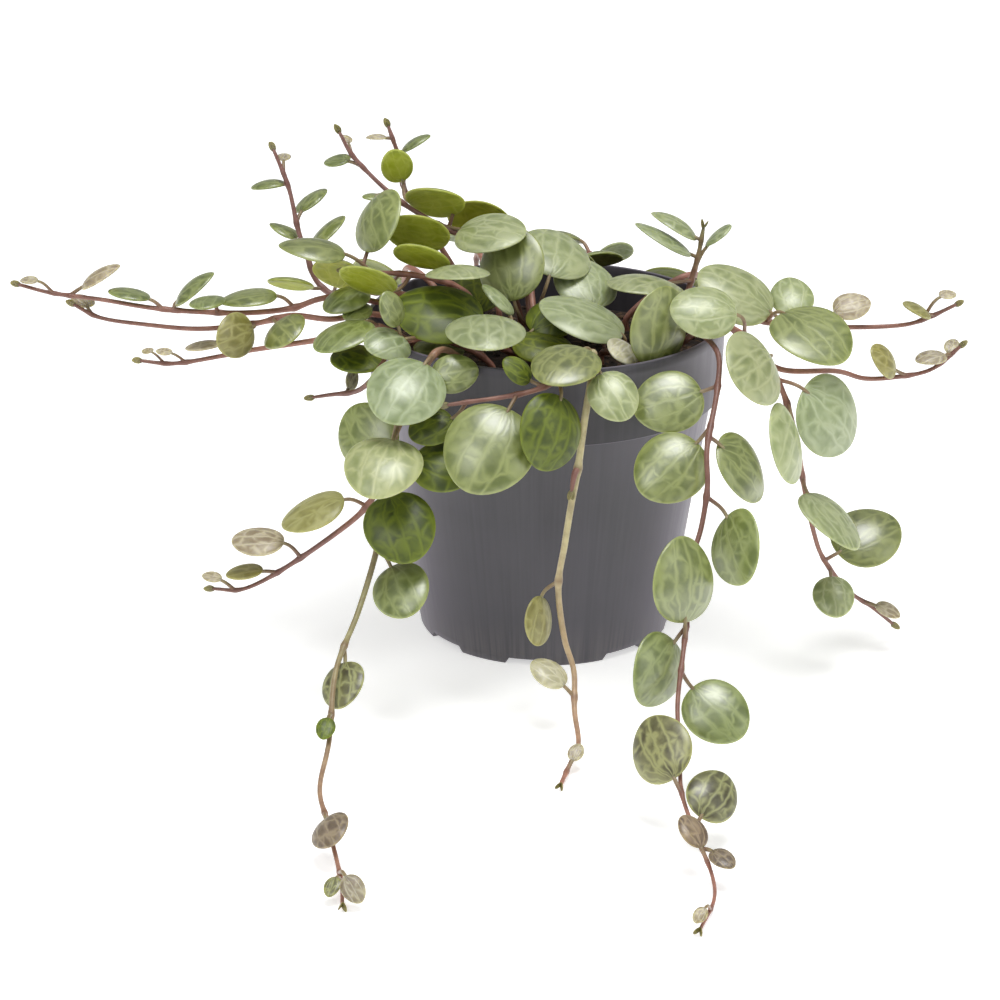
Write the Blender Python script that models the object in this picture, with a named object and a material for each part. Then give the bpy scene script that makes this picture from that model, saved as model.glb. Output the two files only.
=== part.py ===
"""A string of turtles, Peperomia prostrata, planted in a round plastic nursery pot.

The pot stands on its foot ring with its axis on Z and its base at Z = 0. The front is -Y.
Each vine is one piece that grew as one: a stem rooted in the soil, its leaf stalks, its fleshy
round leaves and its side shoots. Vines that trail below the pot come to lie on the ground.
"""

import math

import bmesh
import bpy
import numpy as np

MM = 0.001

# Pot, in metres
RIM_RADIUS = 0.030
POT_HEIGHT = 0.055
POT_WALL = 0.0008
BAND_HEIGHT = 0.013
BAND_TAPER = 0.0006
BAND_STEP = 0.0014
BASE_RADIUS = 0.0215
FOOT_HEIGHT = 0.0012
FOOT_WIDTH = 0.0012
LIP_ROUND = 0.0004
CENTRE_PAD_RADIUS = 0.006
FOOT_NOTCHES = 8
NOTCH_DEGREES = 21
NOTCH_TURN = -7.4
DRAIN_HOLES = 6
DRAIN_HOLE_RADIUS = 0.0025
DRAIN_CIRCLE = 0.62
POT_SIDES = 64

# Soil
SOIL_DROP = 0.0060
SOIL_CROWN = 0.0015
SOIL_SIDES = 40
CLEARANCE = 0.0003

# Vines
STEM_RADIUS = 0.00070
TIP_RADIUS = 0.00035
STALK_RADIUS = 0.00042
FOOT_DEPTH = 0.0024
LEAF_THICKNESS = 0.0011
LEAF_POINTS = 8
STALK_LENGTH = 0.0022
STEM_STEP = 0.0045
NODE_SPACING = 0.0019
TIP_LENGTH = 0.0018

# The vines are laid out around a pot of this size, in millimetres, and follow the real one
DRAWN_RADIUS = 30.0
DRAWN_HEIGHT = 55.0
GROUND_PART = 4.0
POT_PART = 46.0

# A vine: where its foot stands in the soil (x, y), the points that its stem passes through
# (x, y, z), its leaves and its side shoots. A leaf is its middle (x, y, z), the azimuth and the
# elevation that it faces, in degrees from the front, and its width. Lengths are millimetres.
VINES = {
    "vine_front_left": {
        "foot": (-12, -18),
        "stem": [(-14, -21, 54), (-17.5, -25.5, 57), (-21, -30, 53), (-24, -33, 46.5),
                 (-25.5, -34, 39.5), (-26.5, -36, 32.5), (-27.5, -39.5, 27.5), (-30, -47, 21),
                 (-33, -58, 16), (-33.5, -70, 10), (-34.5, -79, 6.5), (-33, -86, 4.5),
                 (-30.5, -98, 1.8), (-30, -104, 1)],
        "leaves": [(-15, -29.5, 54.5, 0, 35, 6.5), (-22.5, -34, 53.5, 10, 55, 12.5),
                   (-29, -28, 43.5, -25, 30, 10.5), (-26, -40.5, 43.5, 0, 65, 12.5),
                   (-23.5, -40.5, 33, 0, 45, 11.5), (-17, -35.5, 41, 0, 50, 9),
                   (-23.5, -42.5, 23, -30, 50, 9.5), (-32, -58.5, 14, -45, 50, 7.5),
                   (-34, -70, 12, 0, 60, 3), (-32.5, -90, 5.5, -75, 55, 6.5),
                   (-28.5, -103, 3, 0, 45, 3.5), (-31.5, -101.5, 2.5, -20, 60, 2.5)],
        "shoots": [{"stem": [(-27, -33, 36), (-31, -32.5, 31), (-41, -31.5, 23), (-49, -30.5, 18),
                             (-54.5, -29.5, 17.5)],
                    "leaves": [(-37.5, -34, 33, -60, 65, 10), (-46.5, -32, 27, 0, 75, 7.5),
                               (-49, -31, 21, -60, 80, 5), (-54.5, -29.5, 19.5, 0, 70, 2.5)]}],
    },
    "vine_front_spray": {
        "foot": (0, -18),
        "stem": [(1.5, -23, 54), (3, -28, 57), (2, -32, 55), (-2, -33, 53), (-7, -33.5, 52),
                 (-11.5, -34, 51.5), (-16, -34.5, 51)],
        "leaves": [(-9.5, -40, 46, 0, 40, 14.5), (0.5, -39.5, 48.5, 35, 20, 11.5),
                   (-5, -32.5, 56, 40, 35, 4.5), (-18.5, -33.5, 47, 0, 45, 6.5)],
        "shoots": [],
    },
    "vine_front_middle": {
        "foot": (5.5, -16.5),
        "stem": [(6.5, -22, 54.5), (7, -28, 57), (6.5, -32.5, 54), (5.5, -35, 48.5),
                 (4.5, -36.5, 41), (3.5, -37.5, 35.5), (2.5, -38.5, 29), (1.5, -39.5, 22),
                 (2.5, -41.5, 14), (4, -44, 9.5), (4, -49, 5), (4.5, -56, 2.5), (3, -61, 1.4),
                 (1.5, -67, 1)],
        "leaves": [(10, -35.5, 53, 0, 45, 8), (2.5, -33.5, 57.5, 0, 75, 11), (-1.5, -41, 17, 55, 15, 7),
                   (0, -45, 9.5, 30, 60, 5.5), (4, -60, 3, 0, 60, 2.5)],
        "shoots": [{"stem": [(4, -37.5, 41), (3.5, -38.5, 38)],
                    "leaves": []}],
    },
    "vine_right_long": {
        "foot": (17, -12.5),
        "stem": [(21, -15, 54), (24, -18, 57.4), (27, -24, 56), (26.5, -31, 52),
                 (24.5, -40, 46), (24.5, -43, 40.5), (23.5, -46, 35), (22, -49.5, 31),
                 (21, -56, 24.5), (20, -62, 20), (19, -68, 15), (19, -76, 10.5), (19, -83, 7.5),
                 (21, -92, 4.5), (22.5, -98, 2.5), (22.5, -103, 1.2), (20, -111, 1)],
        "leaves": [(19, -31.5, 50.5, 0, 40, 10.5), (19, -39.5, 42.5, 0, 40, 11.5),
                   (30.5, -37, 41.5, 60, 30, 11.5), (28.5, -49, 33, -60, 20, 11.5),
                   (20.5, -57, 30.5, 40, 15, 12.5), (16.5, -63, 18.5, 45, 15, 11),
                   (25, -66, 13, 0, 45, 10), (16, -77, 12, -40, 35, 10),
                   (23.5, -84, 8, 30, 50, 8), (20, -92.5, 6.5, 40, 55, 4.5),
                   (24, -97, 4.5, 0, 75, 3.5), (20, -110.5, 3, 0, 55, 2)],
        "shoots": [],
    },
    "vine_right_fall": {
        "foot": (14, -9),
        "stem": [(19, -12, 55.5), (25.5, -14.5, 58.5), (32, -15.5, 56), (37.5, -18, 49),
                 (40.5, -20, 40), (42, -20, 32), (44, -19, 23.5), (46, -18, 18), (50.5, -16, 11.5),
                 (55, -14, 7.5), (59, -12, 3.5)],
        "leaves": [(25, -20.5, 62, 10, 50, 10), (33, -26.5, 54.5, 60, 35, 13),
                   (38.5, -27.5, 42, 70, 20, 13),
                   (46, -19, 43.5, 40, 15, 13.5), (46, -25.5, 28, 70, 55, 12),
                   (53.5, -14, 20.5, 0, 55, 11.5), (47.5, -22, 13, 0, 55, 7),
                   (57.5, -15.5, 7.5, 40, 60, 3.5)],
        "shoots": [],
    },
    "vine_right_upper": {
        "foot": (17, -3),
        "stem": [(21, -4.5, 54.5), (27, -6, 57), (33, -6, 56), (41, -5, 54.5), (50.5, -3, 53.5),
                 (59, -2, 53.5), (63.5, 0, 54), (68.5, 0, 56.5)],
        "leaves": [(31.5, -4, 60, 35, 55, 13), (41, 0, 58, 0, 60, 7.5), (43, -14, 56, 15, 65, 13.5),
                   (50.5, -4, 57.5, 0, 55, 5.5), (61.5, -3, 56.5, 90, 60, 5),
                   (67, 0.5, 58, 30, 70, 2.5)],
        "shoots": [],
    },
    "vine_right_lower": {
        "foot": (19.5, -9),
        "stem": [(24, -10, 54.5), (28.5, -10.5, 56.8), (33, -10.5, 53), (38.5, -10, 48.5),
                 (48, -8, 47.5), (53, -6, 45.5), (59, -5, 45.5), (64.5, -4, 46.5), (69, -4, 50.5)],
        "leaves": [(56, -7, 49, 60, 30, 6), (64, -5.5, 49, 0, 80, 4.5), (68, -1, 49.5, 0, 60, 2.5)],
        "shoots": [],
    },
    "vine_right_riser": {
        "foot": (21, 6),
        "stem": [(23.5, 7, 55), (25.5, 8, 61.5), (26.5, 8, 67.5)],
        "leaves": [(16.5, -1, 60.5, 130, 80, 13), (20, 8, 65.5, 100, 60, 10),
                   (22, 10, 67.5, 100, 60, 8), (29, 8, 66, -90, 50, 4.5)],
        "shoots": [],
    },
    "vine_crown_right": {
        "foot": (9, -8),
        "stem": [(10.5, -10, 51.5), (12.5, -15, 52.5), (13, -20, 53)],
        "leaves": [(18, -20.5, 59, 40, 5, 12.5), (12, -21.5, 55.5, 70, 55, 6),
                   (6, -12.5, 58.5, 60, 70, 14),
                   (6.5, 1.5, 60, 25, 60, 11)],
        "shoots": [],
    },
    "vine_crown_middle": {
        "foot": (-1, -2),
        "stem": [(-2, -2.5, 52.5), (-3, -1, 56), (-3.5, 2.5, 60)],
        "leaves": [(1.5, 4, 64.5, 45, 65, 13), (-6, -3.5, 64.5, -30, 30, 12)],
        "shoots": [],
    },
    "vine_crown_front": {
        "foot": (-5, -10),
        "stem": [(-6, -12, 52), (-9, -14.5, 54.5), (-12.5, -15.5, 56)],
        "leaves": [(-17.5, -15.5, 60.5, 10, 65, 14), (-10, -25, 60.5, 15, 85, 13),
                   (-8, -10, 60.5, 85, 50, 6), (-1, -14, 54, 0, 75, 9),
                   (1, -8, 57, 0, 60, 8.5)],
        "shoots": [],
    },
    "vine_crown_left": {
        "foot": (-11, -4),
        "stem": [(-11.5, -4.5, 55), (-13, -5.5, 60), (-18, -7, 63), (-24, -8.5, 64.5), (-29, -9.5, 65),
                 (-33, -8.5, 65)],
        "leaves": [(-14.5, -14, 66.5, -170, 80, 10.5), (-20.5, -8.5, 67.5, 165, 50, 9),
                   (-29, -13, 65, 165, 45, 9), (-21.5, -3, 70, 170, 35, 10),
                   (-38, -10.5, 69.5, 75, 80, 10), (-27.5, 1.5, 59, 150, 60, 9),
                   (-12, 2, 58, 0, 65, 9)],
        "shoots": [],
    },
    "vine_left_fringe": {
        "foot": (-9, -14),
        "stem": [(-13, -15.5, 54), (-20, -19, 57), (-25, -22.5, 56), (-28, -25, 52)],
        "leaves": [(-25.5, -24.5, 58, 50, 60, 7.5), (-17.5, -14, 53.5, 0, 75, 7.5),
                   (-25, -23, 63, 45, 15, 5)],
        "shoots": [{"stem": [(-28, -21, 51), (-31, -18, 47.5), (-35.5, -15.5, 46), (-38.5, -14, 45)],
                    "leaves": [(-32, -15, 48.5, 55, 15, 3)]}],
    },
    "vine_left_low": {
        "foot": (-19, -9),
        "stem": [(-23, -11, 54), (-28, -13, 56.8), (-34, -14, 55.5), (-40, -14, 54.5),
                 (-48.5, -12, 52.5), (-53.5, -10.5, 51), (-61.5, -10, 49.5), (-67, -10, 50)],
        "leaves": [(-33, -19, 57.5, -60, 75, 10), (-31, -11, 58.5, 0, 70, 4.5),
                   (-31, -17.5, 53, 0, 75, 8), (-56.5, -10, 52.5, -120, 80, 5),
                   (-63, -10, 51.5, 0, 70, 2), (-66, -8, 51, -60, 70, 1.8)],
        "shoots": [],
    },
    "vine_left_middle": {
        "foot": (-17, -4),
        "stem": [(-22, -6, 55), (-29, -8.5, 57.6), (-35.5, -9.5, 57), (-42, -9, 57.5),
                 (-48, -8, 55.8), (-57.5, -6, 54.2), (-67, -3, 54), (-74.5, -1, 54.5), (-79, 0, 56.5)],
        "leaves": [(-78, 3.5, 56, 55, 80, 4), (-50.5, -15, 56, 50, 15, 7.5),
                   (-43, -15, 57, -70, 55, 8)],
        "shoots": [],
    },
    "vine_left_upper": {
        "foot": (-14, 0),
        "stem": [(-20, -2, 57.5), (-28, -4, 60), (-37, -6, 59.5), (-42, -6, 57.8), (-49, -6, 57),
                 (-57, -5, 56.8), (-65.5, -4, 57.2), (-74, -2, 58), (-82.5, 0, 58.5), (-88, 0, 60)],
        "leaves": [(-33, -9, 60.5, -30, 75, 7.5), (-74.5, 0, 61.5, -90, 60, 6.5),
                   (-69, -4, 59.5, 100, 80, 6), (-58.5, -5, 61, -90, 50, 7.5),
                   (-55.5, -11.5, 60.5, -115, 85, 6), (-49, -7, 60, -75, 85, 8.5),
                   (-86, -1, 61, 0, 70, 2.2)],
        "shoots": [],
    },
    "vine_left_riser": {
        "foot": (-19, 4),
        "stem": [(-24, 3, 54.5), (-30, 1.5, 56.8), (-35, 1, 57.5), (-38.5, 2, 60), (-40, 3, 64),
                 (-41.5, 4, 68.5), (-43, 6, 75), (-45.5, 8, 81)],
        "leaves": [(-34, -4, 63.5, 160, 45, 9.5), (-42.5, -1, 60.5, 170, 60, 7),
                   (-44, 10.5, 79, 0, 85, 2.5),
                   (-46.5, 7.5, 75, -115, 80, 5), (-39.5, 9, 72, -85, 60, 6),
                   (-44, 6, 67.5, 85, 70, 4.5),
                   (-37, 7, 67, -90, 50, 7.5)],
        "shoots": [],
    },
    "vine_back_riser": {
        "foot": (-4, 5),
        "stem": [(-5, 3, 56), (-7.5, 1.5, 64), (-14.5, 2, 68), (-19.5, 4, 70), (-25.5, 6, 73.5),
                 (-32, 8, 79.5), (-34.5, 8, 84)],
        "leaves": [(-11, 12.5, 68, 170, 40, 11), (-9.5, -1.5, 69.5, -35, 70, 11.5),
                   (-28, -4.5, 72.5, -60, 35, 11),
                   (-28.5, 5, 73.5, 90, 80, 3.5), (-35, 10, 78.5, -60, 70, 4),
                   (-33.5, 11, 82, 40, 75, 2)],
        "shoots": [],
    },
    "vine_back_shoot": {
        "foot": (-12, 10),
        "stem": [(-14.5, 12, 57), (-20, 13.5, 66), (-24, 13, 73), (-24, 12, 76.5),
                 (-25, 12, 79.5), (-26.5, 12, 84)],
        "leaves": [(-18.5, 4, 73.5, 165, 45, 9.5), (-28.5, 12, 82, 0, 85, 2.5),
                   (-22, 12, 81, -90, 60, 4.5),
                   (-25, 8.5, 78, -165, 15, 5.5)],
        "shoots": [],
    },
}

# The vines at the back hang over the rim behind the pot. Their leaves alternate along the stem:
# from the distance of the first along the stem to the last, growing smaller towards the tip.
BACK_VINES = {
    "vine_back_left": {
        "foot": (-16, 13),
        "stem": [(-19, 16, 54.5), (-23, 19, 57), (-24.5, 25, 54), (-23.5, 31, 46), (-22, 34, 36),
                 (-21, 38, 24), (-19, 44, 12), (-16, 53, 4), (-12, 64, 1.2), (-7, 73, 1)],
        "leaves_from": 24, "leaves_to": 92, "count": 11, "widths": (10.5, 4), "face": 170,
    },
    "vine_back_short": {
        "foot": (-8, 17),
        "stem": [(-10, 23, 55), (-11.5, 28.5, 57), (-12, 34, 53.5), (-11.5, 37, 46), (-11, 38, 38)],
        "leaves_from": 17, "leaves_to": 34, "count": 4, "widths": (7.5, 4.5), "face": 180,
    },
    "vine_back_tuft": {
        "foot": (8, 16),
        "stem": [(9, 22, 54.5), (8, 28.5, 56.8), (8.5, 34, 53), (9.5, 37.5, 45), (10.5, 39, 36)],
        "leaves_from": 17, "leaves_to": 37, "count": 5, "widths": (7.5, 4.5), "face": 180,
    },
    "vine_back_middle": {
        "foot": (-2, 15),
        "stem": [(-2.5, 22, 55), (-2.5, 29, 57), (-2, 37, 55.5), (-1.5, 43, 48), (-1, 46, 38),
                 (0, 48, 26), (1, 51, 14), (3, 57, 5), (6, 66, 1.3), (10, 75, 1)],
        "leaves_from": 26, "leaves_to": 96, "count": 11, "widths": (10.5, 4), "face": 185,
    },
    "vine_back_right": {
        "foot": (14, 12),
        "stem": [(19, 13.5, 54.5), (25, 15.5, 57), (28, 21, 53.5), (26, 28, 47), (22.5, 33, 39),
                 (20, 36, 29), (18.5, 40, 18), (18, 46, 9), (20, 55, 3), (24, 64, 1)],
        "leaves_from": 24, "leaves_to": 90, "count": 11, "widths": (10.5, 4), "face": 190,
    },
    "vine_back_crown": {
        "foot": (3, 11),
        "stem": [(3.5, 13, 52), (4, 16, 54), (4, 20, 55.5)],
        "leaves_from": 6, "leaves_to": 13, "count": 3, "widths": (9, 7), "face": 170,
    },
}

POT_COLOUR = (0.072, 0.069, 0.080, 1)
SOIL_COLOUR = (0.022, 0.013, 0.008, 1)
VINE_COLOUR = (0.200, 0.290, 0.110, 1)


def clear_scene():
    """Remove every object from the scene, with the meshes and materials that they leave."""
    for item in list(bpy.data.objects):
        bpy.data.objects.remove(item, do_unlink=True)


def make_material(name, colour, roughness, metallic=0.0):
    """A Principled BSDF material of one colour."""
    material = bpy.data.materials.new(name)
    material.use_nodes = True
    shader = material.node_tree.nodes["Principled BSDF"]
    shader.inputs["Base Color"].default_value = colour
    shader.inputs["Roughness"].default_value = roughness
    shader.inputs["Metallic"].default_value = metallic
    material.diffuse_color = colour
    return material


def add_object(name, mesh, material=None):
    """Put the mesh into the scene as an object of this name."""
    item = bpy.data.objects.new(name, mesh)
    bpy.context.scene.collection.objects.link(item)
    if material:
        mesh.materials.append(material)
    return item


def turned_mesh(name, profile, sides):
    """Turn a profile of (radius, height) points round Z. Its first and last points are on the axis."""
    bm = bmesh.new()
    verts = [bm.verts.new((radius, 0, height)) for radius, height in profile]
    edges = [bm.edges.new(pair) for pair in zip(verts, verts[1:])]
    bmesh.ops.spin(bm, geom=verts + edges, cent=(0, 0, 0), axis=(0, 0, 1), dvec=(0, 0, 0),
                   angle=math.tau, steps=sides, use_merge=True)
    bmesh.ops.remove_doubles(bm, verts=bm.verts, dist=1e-7)
    bmesh.ops.recalc_face_normals(bm, faces=bm.faces)
    mesh = bpy.data.meshes.new(name)
    bm.to_mesh(mesh)
    bm.free()
    mesh.shade_smooth()
    mesh.set_sharp_from_angle(angle=math.radians(35))
    return mesh


def cut_away(item, cutter):
    """Cut one object's shape from another with a Boolean that stays on it."""
    cutter.hide_render = True
    cutter.display_type = "WIRE"
    cut = item.modifiers.new(cutter.name, "BOOLEAN")
    cut.operation = "DIFFERENCE"
    cut.solver = "EXACT"
    cut.object = cutter


def wall_radius(height):
    """The outer radius of the tapered wall at a height, from the base to the band's underside."""
    top = RIM_RADIUS - BAND_TAPER - BAND_STEP
    return BASE_RADIUS + (top - BASE_RADIUS) * height / (POT_HEIGHT - BAND_HEIGHT)


def pot_profile():
    """The pot's cross-section: up the inside from the base, over the lip and down to the foot."""
    floor_top = FOOT_HEIGHT + POT_WALL
    band_foot = POT_HEIGHT - BAND_HEIGHT
    band_radius = RIM_RADIUS - BAND_TAPER
    inner = [(0, floor_top), (wall_radius(floor_top) - POT_WALL, floor_top),
             (wall_radius(band_foot) - POT_WALL, band_foot),
             (band_radius - POT_WALL, band_foot + BAND_STEP),
             (RIM_RADIUS - POT_WALL, POT_HEIGHT - LIP_ROUND),
             (RIM_RADIUS - POT_WALL + 0.3 * LIP_ROUND, POT_HEIGHT)]
    outer = [(RIM_RADIUS - 0.7 * LIP_ROUND, POT_HEIGHT), (RIM_RADIUS, POT_HEIGHT - LIP_ROUND),
             (band_radius, band_foot + LIP_ROUND), (band_radius - LIP_ROUND, band_foot),
             (wall_radius(band_foot), band_foot - 0.5 * LIP_ROUND), (BASE_RADIUS, 0)]
    under = [(BASE_RADIUS - FOOT_WIDTH, 0), (BASE_RADIUS - FOOT_WIDTH, FOOT_HEIGHT),
             (CENTRE_PAD_RADIUS, FOOT_HEIGHT), (CENTRE_PAD_RADIUS, 0), (0, 0)]
    return inner + outer + under


def block_mesh(bm, radius_in, radius_out, low, high, turn, half_width):
    """Add a radial block, for a notch in the foot ring, at an angle from the front."""
    along = np.array([math.sin(turn), -math.cos(turn), 0])
    across = np.array([math.cos(turn), math.sin(turn), 0])
    corners = []
    for height in (low, high):
        for radius, side in ((radius_in, -1), (radius_out, -1), (radius_out, 1), (radius_in, 1)):
            corners.append(bm.verts.new(along * radius + across * side * half_width + (0, 0, height)))
    for face in ((3, 2, 1, 0), (4, 5, 6, 7), (0, 1, 5, 4), (1, 2, 6, 5), (2, 3, 7, 6), (3, 0, 4, 7)):
        bm.faces.new([corners[index] for index in face])


def build_pot():
    """The pot: tapered wall, rim band, notched foot ring and a base with drain holes."""
    pot = add_object("pot", turned_mesh("pot", pot_profile(), POT_SIDES),
                     make_material("pot plastic", POT_COLOUR, 0.45))
    bm = bmesh.new()
    half_width = BASE_RADIUS * math.sin(math.radians(NOTCH_DEGREES / 2))
    for index in range(FOOT_NOTCHES):
        turn = math.radians(NOTCH_TURN + index * 360 / FOOT_NOTCHES)
        block_mesh(bm, BASE_RADIUS - 2 * FOOT_WIDTH, BASE_RADIUS + 2 * FOOT_WIDTH, -FOOT_HEIGHT,
                   0.9 * FOOT_HEIGHT, turn, half_width)
    bmesh.ops.recalc_face_normals(bm, faces=bm.faces)
    notches = bpy.data.meshes.new("foot notches")
    bm.to_mesh(notches)
    bm.free()
    cut_away(pot, add_object("foot_notches", notches))
    bm = bmesh.new()
    for index in range(DRAIN_HOLES):
        turn = math.tau * index / DRAIN_HOLES
        made = bmesh.ops.create_cone(bm, cap_ends=True, segments=12, radius1=DRAIN_HOLE_RADIUS,
                                     radius2=DRAIN_HOLE_RADIUS, depth=6 * (FOOT_HEIGHT + POT_WALL))
        reach = DRAIN_CIRCLE * BASE_RADIUS
        bmesh.ops.translate(bm, verts=made["verts"],
                            vec=(reach * math.cos(turn), reach * math.sin(turn), FOOT_HEIGHT))
    holes = bpy.data.meshes.new("drain holes")
    bm.to_mesh(holes)
    bm.free()
    cut_away(pot, add_object("drain_holes", holes))


def soil_height(x, y):
    """The height of the soil's slightly crowned top at a place."""
    reach = math.hypot(x, y) / RIM_RADIUS
    return POT_HEIGHT - SOIL_DROP - SOIL_CROWN * reach * reach


def build_soil(feet):
    """The soil: it fills the pot, and has a socket where the foot of each vine stands."""
    floor = FOOT_HEIGHT + POT_WALL + CLEARANCE
    band_foot = POT_HEIGHT - BAND_HEIGHT
    gap = POT_WALL + CLEARANCE
    edge = RIM_RADIUS - BAND_TAPER - gap
    crown = [(edge * share, soil_height(edge * share, 0)) for share in (1, 0.85, 0.65, 0.4, 0)]
    profile = [(0, floor), (wall_radius(floor) - gap, floor),
               (wall_radius(band_foot) - gap, band_foot), (edge, band_foot + BAND_STEP)] + crown
    soil = add_object("soil", turned_mesh("soil", profile, SOIL_SIDES),
                      make_material("potting soil", SOIL_COLOUR, 0.95))
    bm = bmesh.new()
    socket = STEM_RADIUS + 1.3 * CLEARANCE
    for x, y in feet:
        made = bmesh.ops.create_cone(bm, cap_ends=True, segments=8, radius1=socket, radius2=socket,
                                     depth=2 * FOOT_DEPTH + 2 * CLEARANCE)
        bmesh.ops.translate(bm, verts=made["verts"], vec=(x, y, soil_height(x, y)))
    sockets = bpy.data.meshes.new("stem sockets")
    bm.to_mesh(sockets)
    bm.free()
    cut_away(soil, add_object("stem_sockets", sockets))


def place(points):
    """Move points laid out around the drawn pot, in millimetres, to the real pot, in metres.

    Everything grows with the rim's radius. What is above the soil keeps its distance from the
    rim, what lies on the ground stays there, and what hangs between them is stretched.
    """
    points = np.atleast_2d(np.asarray(points, float))
    scale = RIM_RADIUS / (DRAWN_RADIUS * MM)
    placed = points * MM * scale
    share = np.clip((points[:, 2] - GROUND_PART) / (POT_PART - GROUND_PART), 0, 1)
    placed[:, 2] += (POT_HEIGHT - DRAWN_HEIGHT * MM * scale) * share
    return placed


def unit(vector):
    """The vector at length one."""
    return vector / np.linalg.norm(vector)


def smooth_curve(points, spacing=0.00025):
    """Points at an even spacing along the smooth (Catmull-Rom) curve through the given points."""
    points = np.asarray(points, float)
    ends = np.vstack([2 * points[0] - points[1], points, 2 * points[-1] - points[-2]])
    pieces = []
    for a, b, c, d in zip(ends, ends[1:], ends[2:], ends[3:]):
        t = np.linspace(0, 1, 40, endpoint=False)[:, None]
        pieces.append(0.5 * (2 * b + (c - a) * t + (2 * a - 5 * b + 4 * c - d) * t ** 2
                             + (3 * b - a - 3 * c + d) * t ** 3))
    dense = np.vstack(pieces + [points[-1:]])
    lengths = np.concatenate([[0], np.cumsum(np.linalg.norm(np.diff(dense, axis=0), axis=1))])
    count = max(8, int(lengths[-1] / spacing))
    even = np.linspace(0, lengths[-1], count)
    return even, np.stack([np.interp(even, lengths, dense[:, k]) for k in range(3)], axis=1)


def facing(azimuth, elevation):
    """The direction that a leaf faces: azimuth 0 is the front (-Y), elevation 90 is up."""
    a = math.radians(azimuth)
    e = math.radians(elevation)
    return np.array([math.sin(a) * math.cos(e), -math.cos(a) * math.cos(e), math.sin(e)])


def leaf_length(width):
    """A leaf's length: a grown leaf is nearly round, and a young one is longer than wide."""
    return width * (1.06 + 0.5 * math.exp(-width / (5 * MM)))


def leaf_station(distances, curve, middle, normal, wanted, taken):
    """The place along the stem that a leaf or shoot grows from.

    It is the one nearest to the wanted distance from the leaf's middle, measured in the plane of
    the leaf, with little offset from that plane, and clear of the other leaves' nodes. A place
    before the leaf is better than one past it, since stalks lean towards the tip.
    """
    reach = middle - curve
    offset = reach @ normal
    in_plane = np.linalg.norm(reach - offset[:, None] * normal, axis=1)
    cost = np.abs(in_plane - wanted) + 0.35 * np.abs(offset) + 0.1 * in_plane
    cost = cost + np.where(in_plane < wanted - 0.8 * STALK_LENGTH, 10 * wanted, 0.0)
    past = distances - distances[int(np.argmin(np.linalg.norm(reach, axis=1)))]
    cost = cost + 0.15 * np.maximum(past, 0)
    for other in taken:
        cost = cost + np.where(np.abs(distances - other) < NODE_SPACING, 1.0, 0.0)
    cost = cost + np.where(distances < 2.2 * FOOT_DEPTH, 1.0, 0.0)
    cost = cost + np.where(distances > distances[-1] - TIP_LENGTH, 1.0, 0.0)
    return distances[int(np.argmin(cost))]


class Growth:
    """The vertices and faces of one vine while it is built."""

    def __init__(self):
        self.points = []
        self.faces = []

    def add(self, point):
        self.points.append(tuple(point))
        return len(self.points) - 1

    def ring(self, centre, side, up, radius, turn=0.0):
        """Four corners round a centre, right-handed about the way the stem grows."""
        corners = [turn + math.tau * k / 4 for k in range(4)]
        return [self.add(centre + radius * (side * math.cos(a) + up * math.sin(a))) for a in corners]

    def join(self, ring, other, skip=None):
        """The four sides between two rings, less one that a stalk grows from."""
        for k in range(4):
            if k != skip:
                self.faces.append((ring[k], ring[(k + 1) % 4], other[(k + 1) % 4], other[k]))

    def nearest_turn(self, ring, other):
        """The second ring, turned so that its corners are nearest to the first one's."""
        def spread(turn):
            pairs = ((self.points[ring[k]], self.points[other[(k + turn) % 4]]) for k in range(4))
            return sum(np.linalg.norm(np.subtract(a, b)) for a, b in pairs)
        best = min(range(4), key=spread)
        return [other[(k + best) % 4] for k in range(4)]


def middle_of(growth, ring):
    """The middle of a ring of corners."""
    return np.mean([growth.points[index] for index in ring], axis=0)


def outward(growth, base):
    """The direction that the side of a stem with these four corners faces."""
    corners = [np.array(growth.points[index]) for index in base]
    return unit(np.cross(corners[1] - corners[0], corners[3] - corners[0]))


def grow_leaf(growth, base, middle, azimuth, elevation, width):
    """A stalk from the four base corners, and a lens-shaped leaf with its rim round the middle."""
    normal = facing(azimuth, elevation)
    start = middle_of(growth, base)
    length = leaf_length(width)
    along = middle - start
    along = unit(along - normal * np.dot(along, normal))
    across = np.cross(normal, along)
    neck = middle - along * 0.49 * length
    stalk = min(STALK_RADIUS, 0.16 * width)
    thick = min(LEAF_THICKNESS, 0.24 * width)
    corners = [neck + across * stalk, neck + normal * stalk,
               neck - across * stalk, neck - normal * stalk]
    mouth = [growth.add(corner) for corner in corners]
    first = base
    reach = np.linalg.norm(neck - start)
    if reach > 2 * STALK_RADIUS:
        out = outward(growth, base)
        bend = 0.75 * start + 0.25 * neck + 0.25 * reach * out
        way = unit(unit(neck - start) + out)
        side = unit(np.cross(way, normal if abs(np.dot(way, normal)) < 0.9 else along))
        ring = growth.nearest_turn(first, growth.ring(bend, side, np.cross(way, side), stalk))
        growth.join(first, ring)
        first = ring
    turned = growth.nearest_turn(first, mouth)
    growth.join(first, turned)
    rim = []
    for share in np.linspace(0.86, -0.86, LEAF_POINTS):
        angle = math.pi * share
        reach = 0.5 * (length * math.cos(angle) * along + width * math.sin(angle) * across)
        rim.append(growth.add(middle + reach - normal * 0.12 * thick))
    top = growth.add(middle + normal * 0.62 * thick)
    under = growth.add(middle - normal * 0.38 * thick)
    right, upper, left, lower = mouth
    edge = [right] + rim + [left]
    for a, b in zip(edge, edge[1:]):
        growth.faces.append((top, b, a))
        growth.faces.append((under, a, b))
    growth.faces.extend([(top, right, upper), (top, upper, left),
                         (under, lower, right), (under, left, lower)])


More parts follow.
